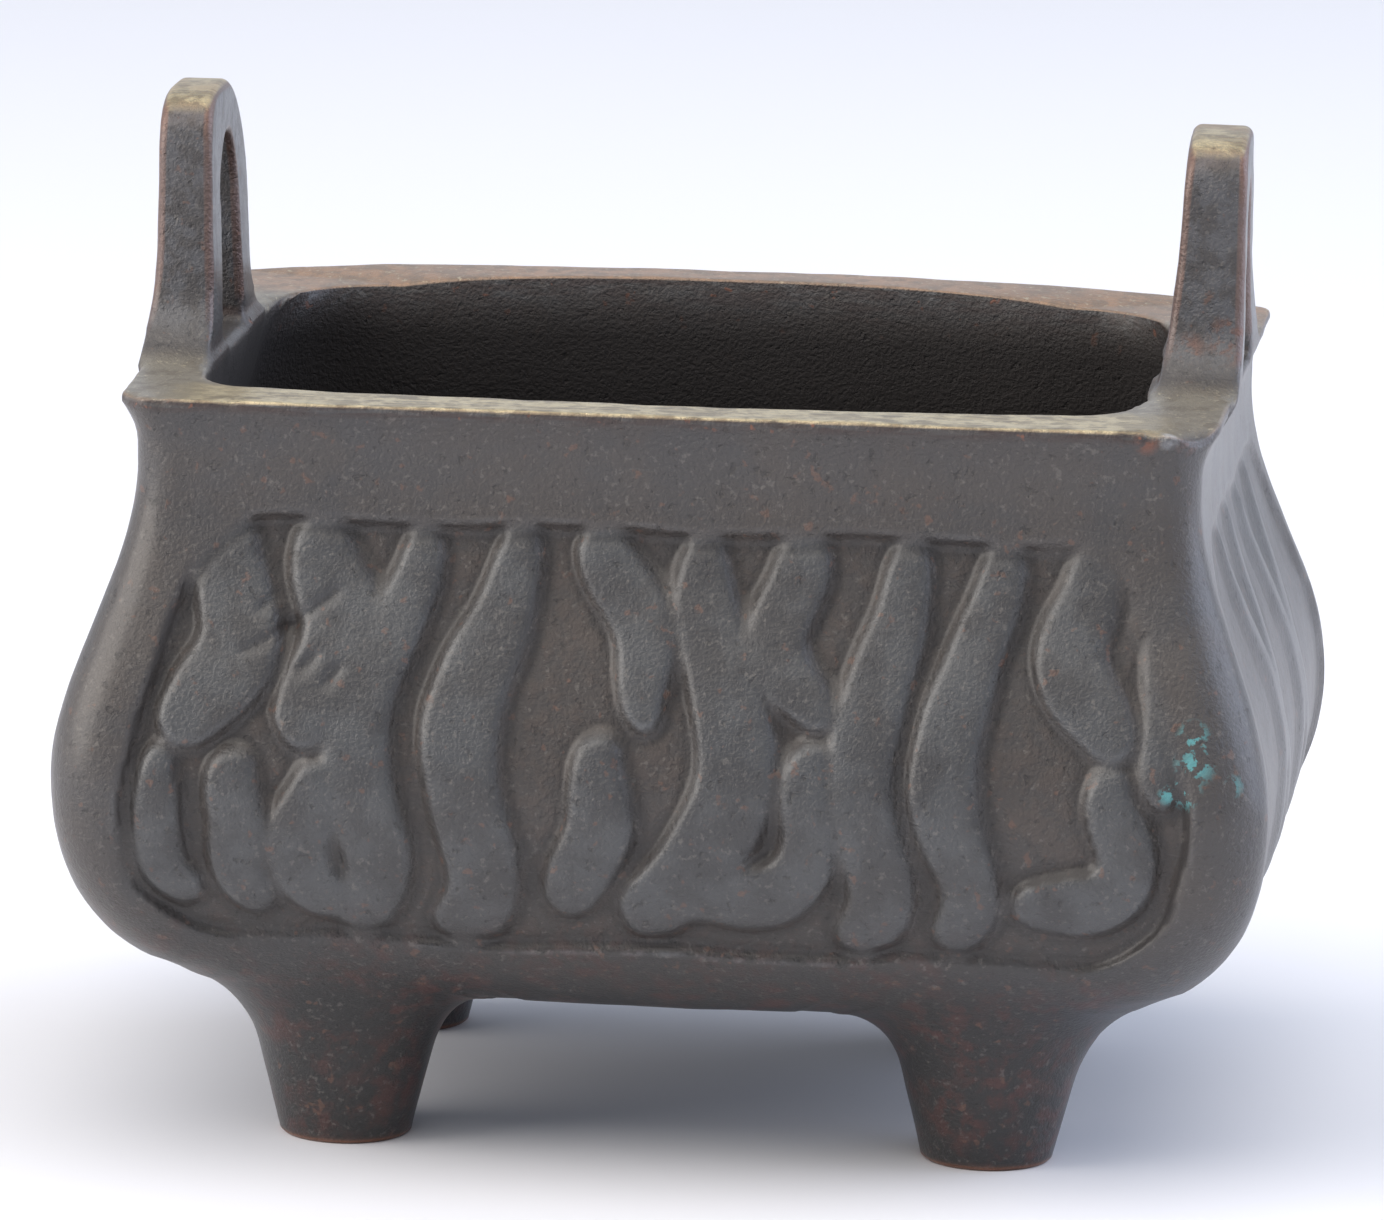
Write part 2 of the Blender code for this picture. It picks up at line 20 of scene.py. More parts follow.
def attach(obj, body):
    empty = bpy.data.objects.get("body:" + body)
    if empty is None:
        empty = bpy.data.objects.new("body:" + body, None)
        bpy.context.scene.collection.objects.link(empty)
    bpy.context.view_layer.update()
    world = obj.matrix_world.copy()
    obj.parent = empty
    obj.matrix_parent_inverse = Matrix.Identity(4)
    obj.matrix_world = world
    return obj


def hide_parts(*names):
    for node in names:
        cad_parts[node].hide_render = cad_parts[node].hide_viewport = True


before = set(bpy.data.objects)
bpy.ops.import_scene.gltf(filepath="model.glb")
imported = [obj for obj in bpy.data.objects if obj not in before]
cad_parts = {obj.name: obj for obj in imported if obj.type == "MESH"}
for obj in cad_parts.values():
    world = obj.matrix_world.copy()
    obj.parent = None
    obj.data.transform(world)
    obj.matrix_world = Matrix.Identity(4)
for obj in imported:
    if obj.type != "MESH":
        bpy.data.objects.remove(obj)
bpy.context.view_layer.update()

MM = 0.001

# The lip's sizes, as the solid has them
RIM_LENGTH = 81 * MM
RIM_DEPTH = 58 * MM
RIM_HEIGHT = 56.3 * MM
RIM_CORNER = 2.6 * MM
LIP_EDGE = 0.7 * MM
LIP_FLARE_ENDS = 1.1 * MM
LIP_FLARE_SIDES = 0.7 * MM
LIP_SWEEP = 3 * MM
NECK_BOTTOM = RIM_HEIGHT - LIP_EDGE - LIP_SWEEP - 1.2 * MM
BACK_LIFT = 0.5 * MM
BACK_RISE = 0.9 * MM
BACK_BOW = 2 * MM
PLAN_TAPER = 0.027

# Belly, underside and floor, as the solid has them
BELLY_HEIGHT = 28 * MM
BELLY_SWELL_ENDS = 5.9 * MM
BELLY_SWELL_SIDES = 5.9 * MM
BELLY_CORNER = 5 * MM
UNDERSIDE_HEIGHT = 11 * MM
UNDERSIDE_CURVE = 14.8 * MM
UNDERSIDE_FULLNESS = 2.06
UNDERSIDE_CORNER = 8 * MM
WALL = 3.6 * MM
FLOOR_HEIGHT = UNDERSIDE_HEIGHT + 3.5 * MM

# The mouth, as the solid has it
RIM_WALL_ENDS = 6.8 * MM
RIM_WALL_SIDES = 4.8 * MM
MOUTH_CORNER = 5 * MM
MOUTH_BACK_CORNER = 8 * MM
MOUTH_BOW = 1.6 * MM
MOUTH_SHIFT = -0.4 * MM
MOUTH_SKEW = 0.025

# Feet, as the solid has them
FOOT_SPACING_LENGTH = 47.5 * MM
FOOT_SPACING_DEPTH = 35 * MM
FOOT_RADIUS = 5 * MM
FOOT_EDGE = 0.4 * MM
FOOT_TAPER = 0.235
FOOT_FILLET = 4.5 * MM
FOOT_EMBED = 1 * MM

# Handles, as the solid has them
HANDLE_WIDTH = 18.4 * MM
HANDLE_SPLAY = 0.9 * MM
HANDLE_LEG = 5.3 * MM
HANDLE_BAR = 4.2 * MM
HANDLE_ARCH = 9 * MM
FRONT_SHOULDER = 4.5
BACK_SHOULDER = 1.8
HANDLE_FILLET = 5.5 * MM
OPENING_FILLET = 1 * MM
HANDLE_EDGE = 0.8 * MM
HANDLE_EMBED = 2.8 * MM
HANDLE_TUCK = 1.6 * MM
SPREAD_HEIGHT = 8 * MM
SPREAD_POWER = 1.5
ROOT_POWER = 0.6

# Each handle's rise, thickness at the crown and at the root, how far it stands out from the end of the lip,
# and how far its root spreads at the front and at the back
LEFT_HANDLE = (19.3 * MM, 4 * MM, 4.9 * MM, -0.7 * MM, 0.8 * MM, 0.6 * MM)
RIGHT_HANDLE = (18.2 * MM, 4.4 * MM, 6.5 * MM, 0 * MM, 0.1 * MM, 0.8 * MM)

# Sunk panels and plain strokes, as the solid has them
RELIEF_DEPTH = 1.2 * MM
PANEL_BOTTOM = 17.6 * MM
PANEL_TOP = RIM_HEIGHT - 8.7 * MM
PANEL_MARGIN = 5.8 * MM
PANEL_CORNER = 5 * MM
STROKE_TIP = 0.64
STROKE_SWAYS = 0.95
CURL_POWER = 1.5
BACK_COUNT = 9
BACK_PITCH = 7.4 * MM
SIDE_COUNT = 4
SIDE_PITCH = 9 * MM
PLAIN_STROKE_CLEARANCE = 2 * MM
PLAIN_STROKE_WIDTH = 4.4 * MM
PLAIN_STROKE_SWAY = 24
PLAIN_STROKE_CURL_START = 0.75
PLAIN_STROKE_CURL = 45

# Moves the casting so that the middle of its box stands at the origin
STANDING_POINT = Vector((0, -BACK_BOW / 2, 0))

# Raised strokes of the front, as the solid has them: place of the top from the panel's middle as a share of
# its half-width, then as shares of the panel's height the place of the top below the upper edge and the
# length, the lean and sway in degrees, where the curl starts, the curl in degrees, and the two widths.
FRONT_STROKES = [
    (-0.937, 0.560, 0.330, -8, 14, 0.40, 85, 0.120, 0.140),
    (-0.817, 0.055, 0.450, -12, 30, 1.00, 0, 0.190, 0.230),
    (-0.794, 0.580, 0.330, -4, 18, 0.50, 80, 0.150, 0.150),
    (-0.646, 0.045, 0.455, -4, 32, 1.00, 0, 0.180, 0.215),
    (-0.641, 0.590, 0.345, 0, -14, 0.55, 60, 0.150, 0.165),
    (-0.457, 0.045, 0.925, -2, -22, 0.75, -50, 0.150, 0.190),
    (-0.268, 0.040, 0.935, 0, -24, 0.72, -60, 0.160, 0.215),
    (-0.110, 0.045, 0.400, 16, 24, 1.00, 0, 0.170, 0.150),
    (-0.104, 0.510, 0.370, -10, 22, 1.00, 0, 0.140, 0.190),
    (0.074, 0.040, 0.935, -3, 24, 0.80, -50, 0.160, 0.235),
    (0.258, 0.045, 0.400, 10, -34, 1.00, 0, 0.190, 0.130),
    (0.294, 0.505, 0.540, -28, 40, 0.50, -40, 0.130, 0.190),
    (0.473, 0.045, 0.925, 0, -20, 0.75, -60, 0.150, 0.190),
    (0.645, 0.040, 0.935, 0, -24, 0.75, -60, 0.150, 0.180),
    (0.800, 0.050, 0.420, 12, -28, 1.00, 0, 0.160, 0.185),
    (0.861, 0.540, 0.470, -22, 46, 0.45, -40, 0.140, 0.180),
    (0.948, 0.210, 0.350, 0, 10, 1.00, 0, 0.090, 0.130),
]

# Softness of the casting's relief
SHOULDER = 1.05 * MM
SIDE_SHOULDER = 3 * MM
BORDER_SHOULDER = 1.2 * MM
STROKE_SINK = 0.05 * MM
DOME_DEPTH = 0.3 * MM
DOME_WIDTH = 1.6 * MM
GROOVE_DEPTH = 0.12 * MM
GROOVE_WIDTH = 0.35 * MM
BORDER_LINE_DEPTH = 0.15 * MM
BORDER_LINE_INSET = 0.7 * MM
# Share of painted shade in the line inside the front panel's border
BORDER_LINE_SHADE = 0.8
STROKE_MERGE = 0.7 * MM
STROKE_STEPS = 28
NO_STROKE_NEAR = 9 * MM
PANEL_RELIEF = 0.9
SIDE_RELIEF = 0.35
# Share of the panels' patina and painted shade kept on the plain panels
PLAIN_PATINA_AND_SHADE = 0.45

# The worn upper right of the front panel: where it starts, how softly, and the share of depth left there
WORN_ACROSS = 24 * MM
WORN_HEIGHT = 30 * MM
WORN_FADE = 12 * MM
WORN_SHOULDER = 3.2 * MM
WORN_DEPTH = 0.6

# The rounded edges of lip and mouth, in millimetres: how far in and how far down each row lies
LIP_ROUND = ((0, 0.5), (0.02, 0.32), (0.09, 0.14), (0.22, 0.04))
MOUTH_ROUND = ((-0.12, 0.05), (0.0, 0.25))

# Where the flat of the lip starts, the share of its way to the mouth at which it ends, and how far below the
# lip the rows of the inside start
LIP_INSET = 0.4 * MM
LIP_REACH = 0.93
INSIDE_DROP = 0.6 * MM

# How far the skin stays inside the solid, in millimetres, and the height under which the soles stay flat
SKIN_SINK = 0.09
SOLE_SKIN = 0.05 * MM

# Unevenness of the skin: depth and breadth in millimetres, and where in the noise it starts
DENTS = (
    (0.10, 9, (0, 0, 0)),
    (0.05, 3.1, (7, 3, 5)),
    (0.012, 0.9, (1, 8, 2)),
)

# Zones in which the seams of feet and handles are smoothed, and how often
ROOT_SMOOTHING = 10
ROOT_FADE = 0.5 * MM
FOOT_ROOT_BOTTOM = UNDERSIDE_HEIGHT - 2 * MM
FOOT_ROOT_INNER = 8 * MM
FOOT_ROOT_OUTER = 15 * MM
HANDLE_ROOT_INNER = RIM_LENGTH / 2 - RIM_WALL_ENDS - 0.9 * MM
HANDLE_ROOT_HALF_WIDTH = 18 * MM
HANDLE_ROOT_BOTTOM = RIM_HEIGHT - 3.5 * MM
HANDLE_ROOT_TOP = RIM_HEIGHT + 1.8 * MM

# Which points have a panel's patina and painted shade: how far beyond the panel, how deep in the wall, and
# how far they face outwards
FORMS_MARGIN = 2 * MM
FORMS_WALL = 0.8 * WALL
FORMS_FACING = 0.1

# Where the patina changes: the lip between the handles' roots, rubbed at the front and coppery at the back,
# its flat partly lightened with painted light, the crowns of the handles, and the low parts, darkened with
# painted shade
LIP_CREST = RIM_HEIGHT + 1.7 * MM
BETWEEN_ROOTS = 34.5 * MM
BESIDE_ROOTS = 12 * MM
RUBBED_FRONT = 21 * MM
RUBBED_HALF_LENGTH = 37 * MM
COPPERY_BACK = 18 * MM
CROWN_HEIGHT = RIM_HEIGHT + 16.4 * MM
LOW_HEIGHT = 22 * MM
LOW_FADE = 10 * MM

# Chips along the lip, in millimetres: place, radius and depth. They go down and inwards, as much inwards as
# down at these distances from the middle
CHIP_SLANT = (40, 29)
CHIPS = (
    (39.6, -28.6, 56.2, 4.6, 1.5),
    (35.0, -29.0, 56.2, 1.3, 0.5),
    (33.2, -29.1, 56.0, 0.9, 0.3),
    (8.5, -29.1, 56.0, 1.0, 0.3),
    (-12.0, -29.1, 56.1, 1.1, 0.25),
    (-31.5, -29.1, 56.0, 1.2, 0.3),
    (-36.5, -29.1, 56.0, 1.0, 0.3),
    (-39.2, -28.4, 56.1, 1.8, 0.55),
)

# Gouges in the front's upper left mass, in millimetres: both ends, width and depth
GOUGES = (
    (-23.3, 42.6, -26.2, 40.2, 0.35, 0.35),
    (-26.2, 40.2, -29.8, 38.7, 0.4, 0.25),
    (-24.4, 38.2, -25.4, 37.2, 0.45, 0.4),
    (-22.6, 37.4, -23.4, 36.4, 0.4, 0.35),
    (-27.6, 42.2, -28.4, 41.6, 0.4, 0.3),
)

# Spots on the patina, one of them a painted glint: place and radius in millimetres, and what shows there. It
# shows fully within a share of the radius
SPOT_CORE = 0.3
SPOTS = (
    (38.6, -34.2, 35.2, 1.5, "verdigris"),
    (38.7, -34.2, 33.2, 1.7, "verdigris"),
    (38.0, -34.4, 31.2, 1.5, "verdigris"),
    (41.2, -33.4, 31.6, 1.1, "verdigris"),
    (40.8, -33.4, 27.6, 1.0, "verdigris"),
    (38.9, -32.0, 19.8, 0.8, "verdigris"),
    (36.8, -34.8, 31.0, 0.8, "verdigris"),
    (34.4, -29.8, 55.5, 1.1, "red patina"),
    (37.8, -29.6, 55.4, 1.4, "red patina"),
    (39.6, -11.5, 60.2, 2.2, "red patina"),
    (36.6, -12.0, 59.8, 1.6, "red patina"),
    (36.0, -29.8, 55.8, 0.9, "bare metal with painted glint"),
)

# Colour, roughness, metallic and share of the spots, and the pattern that breaks them up
SPOT_KINDS = {
    "verdigris": ("#5aa0a2", 0.85, 0.0, 0.8, "crust"),
    "red patina": ("#875038", 0.60, 0.3, 0.6, "mottle"),
    # A painted glint on a spot of worn bare metal
    "bare metal with painted glint": ("#cdd2d8", 0.32, 0.9, 0.9, "clouds"),
}

# Fineness of the mesh, and the steps in which its places are found
FRONT_COLUMNS = 214
SIDE_COLUMNS = 78
BACK_COLUMNS = 108
CORNER_COLUMNS = 7
PANEL_ROW = 0.37 * MM
UNDER_ROW = 1.1 * MM
NECK_ROW = 0.6 * MM
LIP_ROWS = 7
INSIDE_ROWS = 20
MIDDLE_SHARES = (0.9, 0.7, 0.45, 0.2)
MIDDLE_SAG = 0.15 * MM
HEIGHT_SAMPLES = 4000
BELOW_PANEL = 1.5 * MM
ABOVE_PANEL = 1.2 * MM
MERGE_DISTANCE = 0.001 * MM
FOOT_SIDES = 56
FOOT_EDGE_STEPS = 3
FOOT_SIDE_STEPS = 8
FOOT_FILLET_STEPS = 12
FOOT_REACH_STEPS = 6
HALVINGS = 26
SLOPE_STEP = 0.05 * MM
HANDLE_STEPS = 30
HANDLE_RING = 9

# The camera, as it stood for the photograph
CAMERA_TARGET = (-0.4 * MM, -1.0 * MM, 36.6 * MM)
CAMERA_DISTANCE = 658 * MM
CAMERA_YAW = 5.27
CAMERA_PITCH = 10.98
CAMERA_ROLL = 1.12
CAMERA_LENS = 228.4
CAMERA_SENSOR = 36

# Where all lamps point
LIGHTS_AIM = (0, 0, 30 * MM)


# Small helpers

def mix(start, end, share):
    return start + (end - start) * share


def smooth_step(value):
    """0 below 0, 1 above 1, and an S-curve between."""
    share = np.clip(value, 0.0, 1.0)
    return share * share * (3 - 2 * share)


def rising(value, start, width):
    """0 up to a start, 1 from a width beyond it, and an S-curve between."""
    return smooth_step((value - start) / width)


def falling(value, end, width):
    """1 until a width before an end, 0 from the end on, and an S-curve between."""
    return smooth_step((end - value) / width)


def linear(hex_colour):
    """A colour written as sRGB hex, as linear red, green, blue and alpha."""
    channels = [int(hex_colour[start:start + 2], 16) / 255 for start in (1, 3, 5)]
    values = [c / 12.92 if c <= 0.04045 else ((c + 0.055) / 1.055) ** 2.4 for c in channels]
    return (*values, 1.0)


# The bowl's profile, for one height or an array of them

def inset_at(height, flare, swell, underside):
    """How far the bowl's side stands in from the edge of the lip at a height."""
    sweep = np.clip((RIM_HEIGHT - LIP_EDGE - height) / LIP_SWEEP, 0, 1)
    share = np.clip((NECK_BOTTOM - height) / (NECK_BOTTOM - BELLY_HEIGHT), 0, 1)
    upper = flare * np.sin(math.pi / 2 * sweep) - swell * (1 - np.cos(math.pi * share)) / 2
    drop = np.clip((BELLY_HEIGHT - height) / (BELLY_HEIGHT - underside), 0, 1)
    round_under = (1 - drop ** UNDERSIDE_FULLNESS) ** (1 / UNDERSIDE_FULLNESS)
    return upper + UNDERSIDE_CURVE * (1 - round_under)


def inset_ends(height, underside=UNDERSIDE_HEIGHT):
    return inset_at(height, LIP_FLARE_ENDS, BELLY_SWELL_ENDS, underside)


def inset_sides(height, underside=UNDERSIDE_HEIGHT):
    return inset_at(height, LIP_FLARE_SIDES, BELLY_SWELL_SIDES, underside)


def corner_at(height):
    """Radius of the bowl's upright corners at a height."""
    above = np.clip((height - BELLY_HEIGHT) / (RIM_HEIGHT - BELLY_HEIGHT), 0, 1)
    below = np.clip((BELLY_HEIGHT - height) / (BELLY_HEIGHT - UNDERSIDE_HEIGHT), 0, 1)
    return BELLY_CORNER + (RIM_CORNER - BELLY_CORNER) * above + (UNDERSIDE_CORNER - BELLY_CORNER) * below ** 2


def half_length(height):
    return RIM_LENGTH / 2 - inset_ends(height)


def half_depth(height):
    return RIM_DEPTH / 2 - inset_sides(height)


def tapered(x, y, taper=PLAN_TAPER):
    """Places along the bowl, further out towards the back and further in towards the front."""
    return x * (1 + taper * y / (RIM_DEPTH / 2))


def front_half_length(height):
    return tapered(half_length(height), -half_depth(height))


def back_half_length(height):
    return tapered(half_length(height), half_depth(height))


# Strokes and panels, as distances in the plane of a panel

def stroke_path(x, top, length, lean, sway, curl_start, curl, top_width, foot_width):
    """Points down the middle of a stroke with its half-width at each. Its direction sways, then curls."""
    points = [(x, top)]
    for step in range(STROKE_STEPS):
        share = (step + 0.5) / STROKE_STEPS
        turned = lean + sway * math.sin(2 * math.pi * STROKE_SWAYS * share)
        if share > curl_start:
            turned += curl * ((share - curl_start) / (1 - curl_start)) ** CURL_POWER
        x += length / STROKE_STEPS * math.sin(math.radians(turned))
        top -= length / STROKE_STEPS * math.cos(math.radians(turned))
        points.append((x, top))
    widths = []
    for index in range(STROKE_STEPS + 1):
        share = index / STROKE_STEPS
        swell = math.sqrt(max(math.sin(math.pi * share), 0.0))
        widths.append(mix(top_width, foot_width, share) * mix(STROKE_TIP, 1.0, swell) / 2)
    return points, widths


def front_strokes():
    half = front_half_length(BELLY_HEIGHT) - PANEL_MARGIN
    tall = PANEL_TOP - PANEL_BOTTOM
    return [stroke_path(x * half, PANEL_TOP - drop * tall, length * tall, lean, sway, start, curl,
                        top_width * tall, foot_width * tall)
            for x, drop, length, lean, sway, start, curl, top_width, foot_width in FRONT_STROKES]


def plain_strokes(count, pitch):
    length = PANEL_TOP - PANEL_BOTTOM - 2 * PLAIN_STROKE_CLEARANCE
    strokes = []
    for index in range(count):
        bend = -1 if index % 2 else 1
        strokes.append(stroke_path((index - (count - 1) / 2) * pitch, PANEL_TOP - PLAIN_STROKE_CLEARANCE,
                                   length, 0, bend * PLAIN_STROKE_SWAY, PLAIN_STROKE_CURL_START,
                                   bend * PLAIN_STROKE_CURL, PLAIN_STROKE_WIDTH, PLAIN_STROKE_WIDTH))
    return strokes


def from_segment(across, height, start, end):
    """Distance of places from a straight segment, and how far along it they lie, as a share."""
    (x0, z0), (x1, z1) = start, end
    dx, dz = x1 - x0, z1 - z0
    along = np.clip(((across - x0) * dx + (height - z0) * dz) / (dx * dx + dz * dz), 0, 1)
    return np.hypot(across - x0 - along * dx, height - z0 - along * dz), along


def stroke_distance(strokes, across, height):
    """Distance to the nearest stroke's edge, below 0 on a stroke. Near strokes run together softly."""
    nearest = np.full(across.shape, NO_STROKE_NEAR)
    for points, widths in strokes:
        own = np.full(across.shape, NO_STROKE_NEAR)
        for index in range(STROKE_STEPS):
            away, along = from_segment(across, height, points[index], points[index + 1])
            own = np.minimum(own, away - mix(widths[index], widths[index + 1], along))
        near = np.clip(0.5 + 0.5 * (own - nearest) / STROKE_MERGE, 0, 1)
        nearest = mix(own, nearest, near) - STROKE_MERGE * near * (1 - near)
    return nearest


def border_distance(half_width, across, height):
    """Distance to a panel's border, below 0 inside it."""
    wide = np.abs(across) - half_width(height) + PANEL_MARGIN + PANEL_CORNER
    tall = np.maximum(PANEL_BOTTOM - height, height - PANEL_TOP) + PANEL_CORNER
    outside = np.hypot(np.maximum(wide, 0), np.maximum(tall, 0))
    return outside + np.minimum(np.maximum(wide, tall), 0) - PANEL_CORNER


PANELS = (
    # outward direction, half-width, strokes
    ((0, -1), front_half_length, front_strokes()),
    ((0, 1), back_half_length, plain_strokes(BACK_COUNT, BACK_PITCH)),
    ((1, 0), half_depth, plain_strokes(SIDE_COUNT, SIDE_PITCH)),
    ((-1, 0), half_depth, plain_strokes(SIDE_COUNT, SIDE_PITCH)),
)


def wavered(across, height):
    """The same places shifted a little to and fro, so that outlines drawn with them look cut by hand."""
    # The amounts in front of the waves and the lengths under the places are in millimetres, and the amounts
    # within say how strongly one wave bends the other
    a, h = across / MM, height / MM
    sideways = 0.24 * np.sin(h / 2.9 + 1.6 * np.sin(a / 4.1)) + 0.05 * np.sin(h / 1.1 + a / 1.6)
    upwards = 0.18 * np.sin(a / 3.4 + 1.4 * np.sin(h / 3.7)) + 0.04 * np.sin(a / 1.3 - h / 1.9)
    return across + sideways * MM, height + upwards * MM


def gouged(across, height):
    """Depth of the gouges at places of the front panel."""
    depth = np.zeros(across.shape)
    for *ends, width, deepest in GOUGES:
        away, _ = from_segment(across / MM, height / MM, ends[:2], ends[2:])
        depth += deepest * MM * np.exp(-(away / width) ** 2)
    return depth


def panel_forms(outward, half_width, strokes, x, y, z):
    """Shares of points in the sunk ground, on strokes and in the lines along their edges, these lines
    darkened with painted shade, and the depth.
    """
    on_front = outward == (0, -1)
    relief, shoulder = (SIDE_RELIEF, SIDE_SHOULDER) if outward[0] else (PANEL_RELIEF, SHOULDER)
    across = y * outward[0] - x * outward[1]
    worn = rising(across, WORN_ACROSS, WORN_FADE) * rising(z, WORN_HEIGHT, WORN_FADE) * on_front
    across, z = wavered(across, z)
    border = border_distance(half_width, across, z)
    stroke = stroke_distance(strokes, across, z)
    inside = smooth_step(0.5 - border / mix(BORDER_SHOULDER, WORN_SHOULDER, worn))
    raised = smooth_step(0.5 - stroke / shoulder)
    sunk = inside * (1 - raised)
    # Grooves along the strokes' feet and a line inside the front border: cut into the skin, and darkened with
    # painted shade
    shaded_groove = sunk * np.exp(-((stroke - shoulder / 2) / GROOVE_WIDTH) ** 2)
    line = np.exp(-((border + BORDER_LINE_INSET) / GROOVE_WIDTH) ** 2) * (1 - worn) * on_front
    dome = np.clip(1 + stroke / DOME_WIDTH, 0, 1) ** 2
    depth = RELIEF_DEPTH * sunk * mix(1.0, WORN_DEPTH, worn)
    depth = depth + inside * raised * (STROKE_SINK + DOME_DEPTH * dome)
    depth = relief * (depth + GROOVE_DEPTH * shaded_groove + BORDER_LINE_DEPTH * line * raised)
    if on_front:
        depth = depth + gouged(across, z)
    return sunk, inside * raised, np.maximum(shaded_groove, BORDER_LINE_SHADE * line), depth


# The sheet that wraps the bowl

def plan_columns():
    """Columns around the bowl: corner centre as shares of the half sizes, outward direction, bow share."""
    corners = ((-1, -1), (1, -1), (1, 1), (-1, 1))
    outwards = ((0, -1), (1, 0), (0, 1), (-1, 0))
    counts = (FRONT_COLUMNS, SIDE_COLUMNS, BACK_COLUMNS, SIDE_COLUMNS)
    columns = []
    for index in range(4):
        start, end = corners[index], corners[(index + 1) % 4]
        outward, count = outwards[index], counts[index]
        for step in range(count + 1):
            share = step / count
            bow = 1 - (2 * share - 1) ** 2
            columns.append((mix(start[0], end[0], share), mix(start[1], end[1], share), *outward, bow))
        heading = math.atan2(outward[1], outward[0])
        for step in range(1, CORNER_COLUMNS):
            angle = heading + math.pi / 2 * step / CORNER_COLUMNS
            columns.append((*end, math.cos(angle), math.sin(angle), 0.0))
    columns.append(columns[0])
    return np.array(columns).T


def outer_heights():
    """Heights up the outside, close together over the panels and wider apart elsewhere."""
    fine = np.linspace(UNDERSIDE_HEIGHT, RIM_HEIGHT - LIP_EDGE, HEIGHT_SAMPLES)
    lengths = np.hypot(np.diff(fine), np.diff(inset_sides(fine)))
    middle = (fine[1:] + fine[:-1]) / 2
    spacing = np.where(middle < PANEL_BOTTOM - BELOW_PANEL, UNDER_ROW,
                       np.where(middle > PANEL_TOP + ABOVE_PANEL, NECK_ROW, PANEL_ROW))
    cost = np.concatenate(([0.0], np.cumsum(lengths / spacing)))
    return np.interp(np.linspace(0, cost[-1], int(cost[-1]) + 1), cost, fine)


def shrunk(row, share, rise):
    """The same row of the sheet drawn in towards the middle, which lies higher by the rise."""
    return (row[0] + rise * (1 - share), *[value * share for value in row[1:7]], *row[7:])


def skin_rows():
    """Rows of the sheet from the underside's middle out and up, over the lip and down to the floor's middle.

    Each row gives height, half-length, half-depth, front and back corners and bows, taper, how far it is
    moved back, and its share of the mouth's shift and skew.
    """
    length, depth = RIM_LENGTH / 2, RIM_DEPTH / 2
    outside = (0.0, BACK_BOW, PLAN_TAPER, 0.0, 0.0)
    rim = (RIM_CORNER, RIM_CORNER, *outside)
    rows = [(z, half_length(z), half_depth(z), corner_at(z), corner_at(z), *outside) for z in outer_heights()]
    rows = [shrunk(rows[0], share, MIDDLE_SAG) for share in reversed(MIDDLE_SHARES)] + rows
    for inset, drop in LIP_ROUND:
        rows.append((RIM_HEIGHT - drop * MM, length - inset * MM, depth - inset * MM, *rim))
    lip = (length - LIP_INSET, depth - LIP_INSET, *rim)
    mouth = (length - RIM_WALL_ENDS, depth - RIM_WALL_SIDES - MOUTH_BOW / 2, MOUTH_CORNER, MOUTH_BACK_CORNER,
             MOUTH_BOW, BACK_BOW, 0.0, MOUTH_BOW / 2, 1.0)
    for step in range(LIP_ROWS + 1):
        share = step / LIP_ROWS * LIP_REACH
        rows.append((RIM_HEIGHT, *[mix(a, b, share) for a, b in zip(lip, mouth)]))
    for inset, drop in MOUTH_ROUND:
        rows.append((RIM_HEIGHT - drop * MM, mouth[0] - inset * MM, mouth[1] - inset * MM, *mouth[2:]))
    for step in range(1, INSIDE_ROWS + 1):
        share = step / INSIDE_ROWS
        z = mix(RIM_HEIGHT - INSIDE_DROP, FLOOR_HEIGHT, math.sin(math.pi / 2 * share))
        wall = np.clip((z - NECK_BOTTOM) / (RIM_HEIGHT - NECK_BOTTOM), 0, 1)
        inner_length = length - inset_ends(z, FLOOR_HEIGHT) - mix(WALL, RIM_WALL_ENDS, wall)
        inner_depth = depth - inset_sides(z, FLOOR_HEIGHT) - mix(WALL, RIM_WALL_SIDES, wall)
        rows.append((z, inner_length, inner_depth - MOUTH_BOW / 2, MOUTH_CORNER, MOUTH_BACK_CORNER, MOUTH_BOW,
                     BACK_BOW, PLAN_TAPER * (1 - wall), MOUTH_BOW / 2, wall))
    rows += [shrunk(rows[-1], share, -MIDDLE_SAG) for share in MIDDLE_SHARES]
    return np.array(rows).T[:, :, None]


def skin_points():
    """Places of the sheet's points, row by row, with the relief sunk into the panels."""
    corner_x, corner_y, out_x, out_y, bow = plan_columns()
    z, length, depth, front_corner, back_corner, front_bow, back_bow, taper, moved_back, skewed = skin_rows()
    corner = mix(front_corner, back_corner, (corner_y + 1) / 2)
    y = corner_y * (depth - corner) + out_y * corner + bow * np.where(out_y > 0, back_bow, 0)
    y = y - bow * np.where(out_y < 0, front_bow, 0)
    x = tapered(corner_x * (length - corner) + out_x * corner, y, taper)
    x = x + skewed * (MOUTH_SHIFT + MOUTH_SKEW * y)
    y = y + moved_back
    lifted = np.clip((z - NECK_BOTTOM) / (RIM_HEIGHT - LIP_EDGE - NECK_BOTTOM), 0, 1)
    z = z + lifted * BACK_LIFT * (y / RIM_DEPTH + 0.5)
    z = z + lifted * BACK_RISE * np.where(out_y > 0, bow * (2 - bow), 0)
    outside = np.arange(len(z))[:, None] < len(MIDDLE_SHARES) + len(outer_heights())
    for outward, half_width, strokes in PANELS:
        here = (out_x == outward[0]) & (out_y == outward[1]) & outside
        depth_here = panel_forms(outward, half_width, strokes, x[here], y[here], z[here])[3]
        x[here] -= outward[0] * depth_here
        y[here] -= outward[1] * depth_here
    return np.stack((x, y, z), axis=-1)


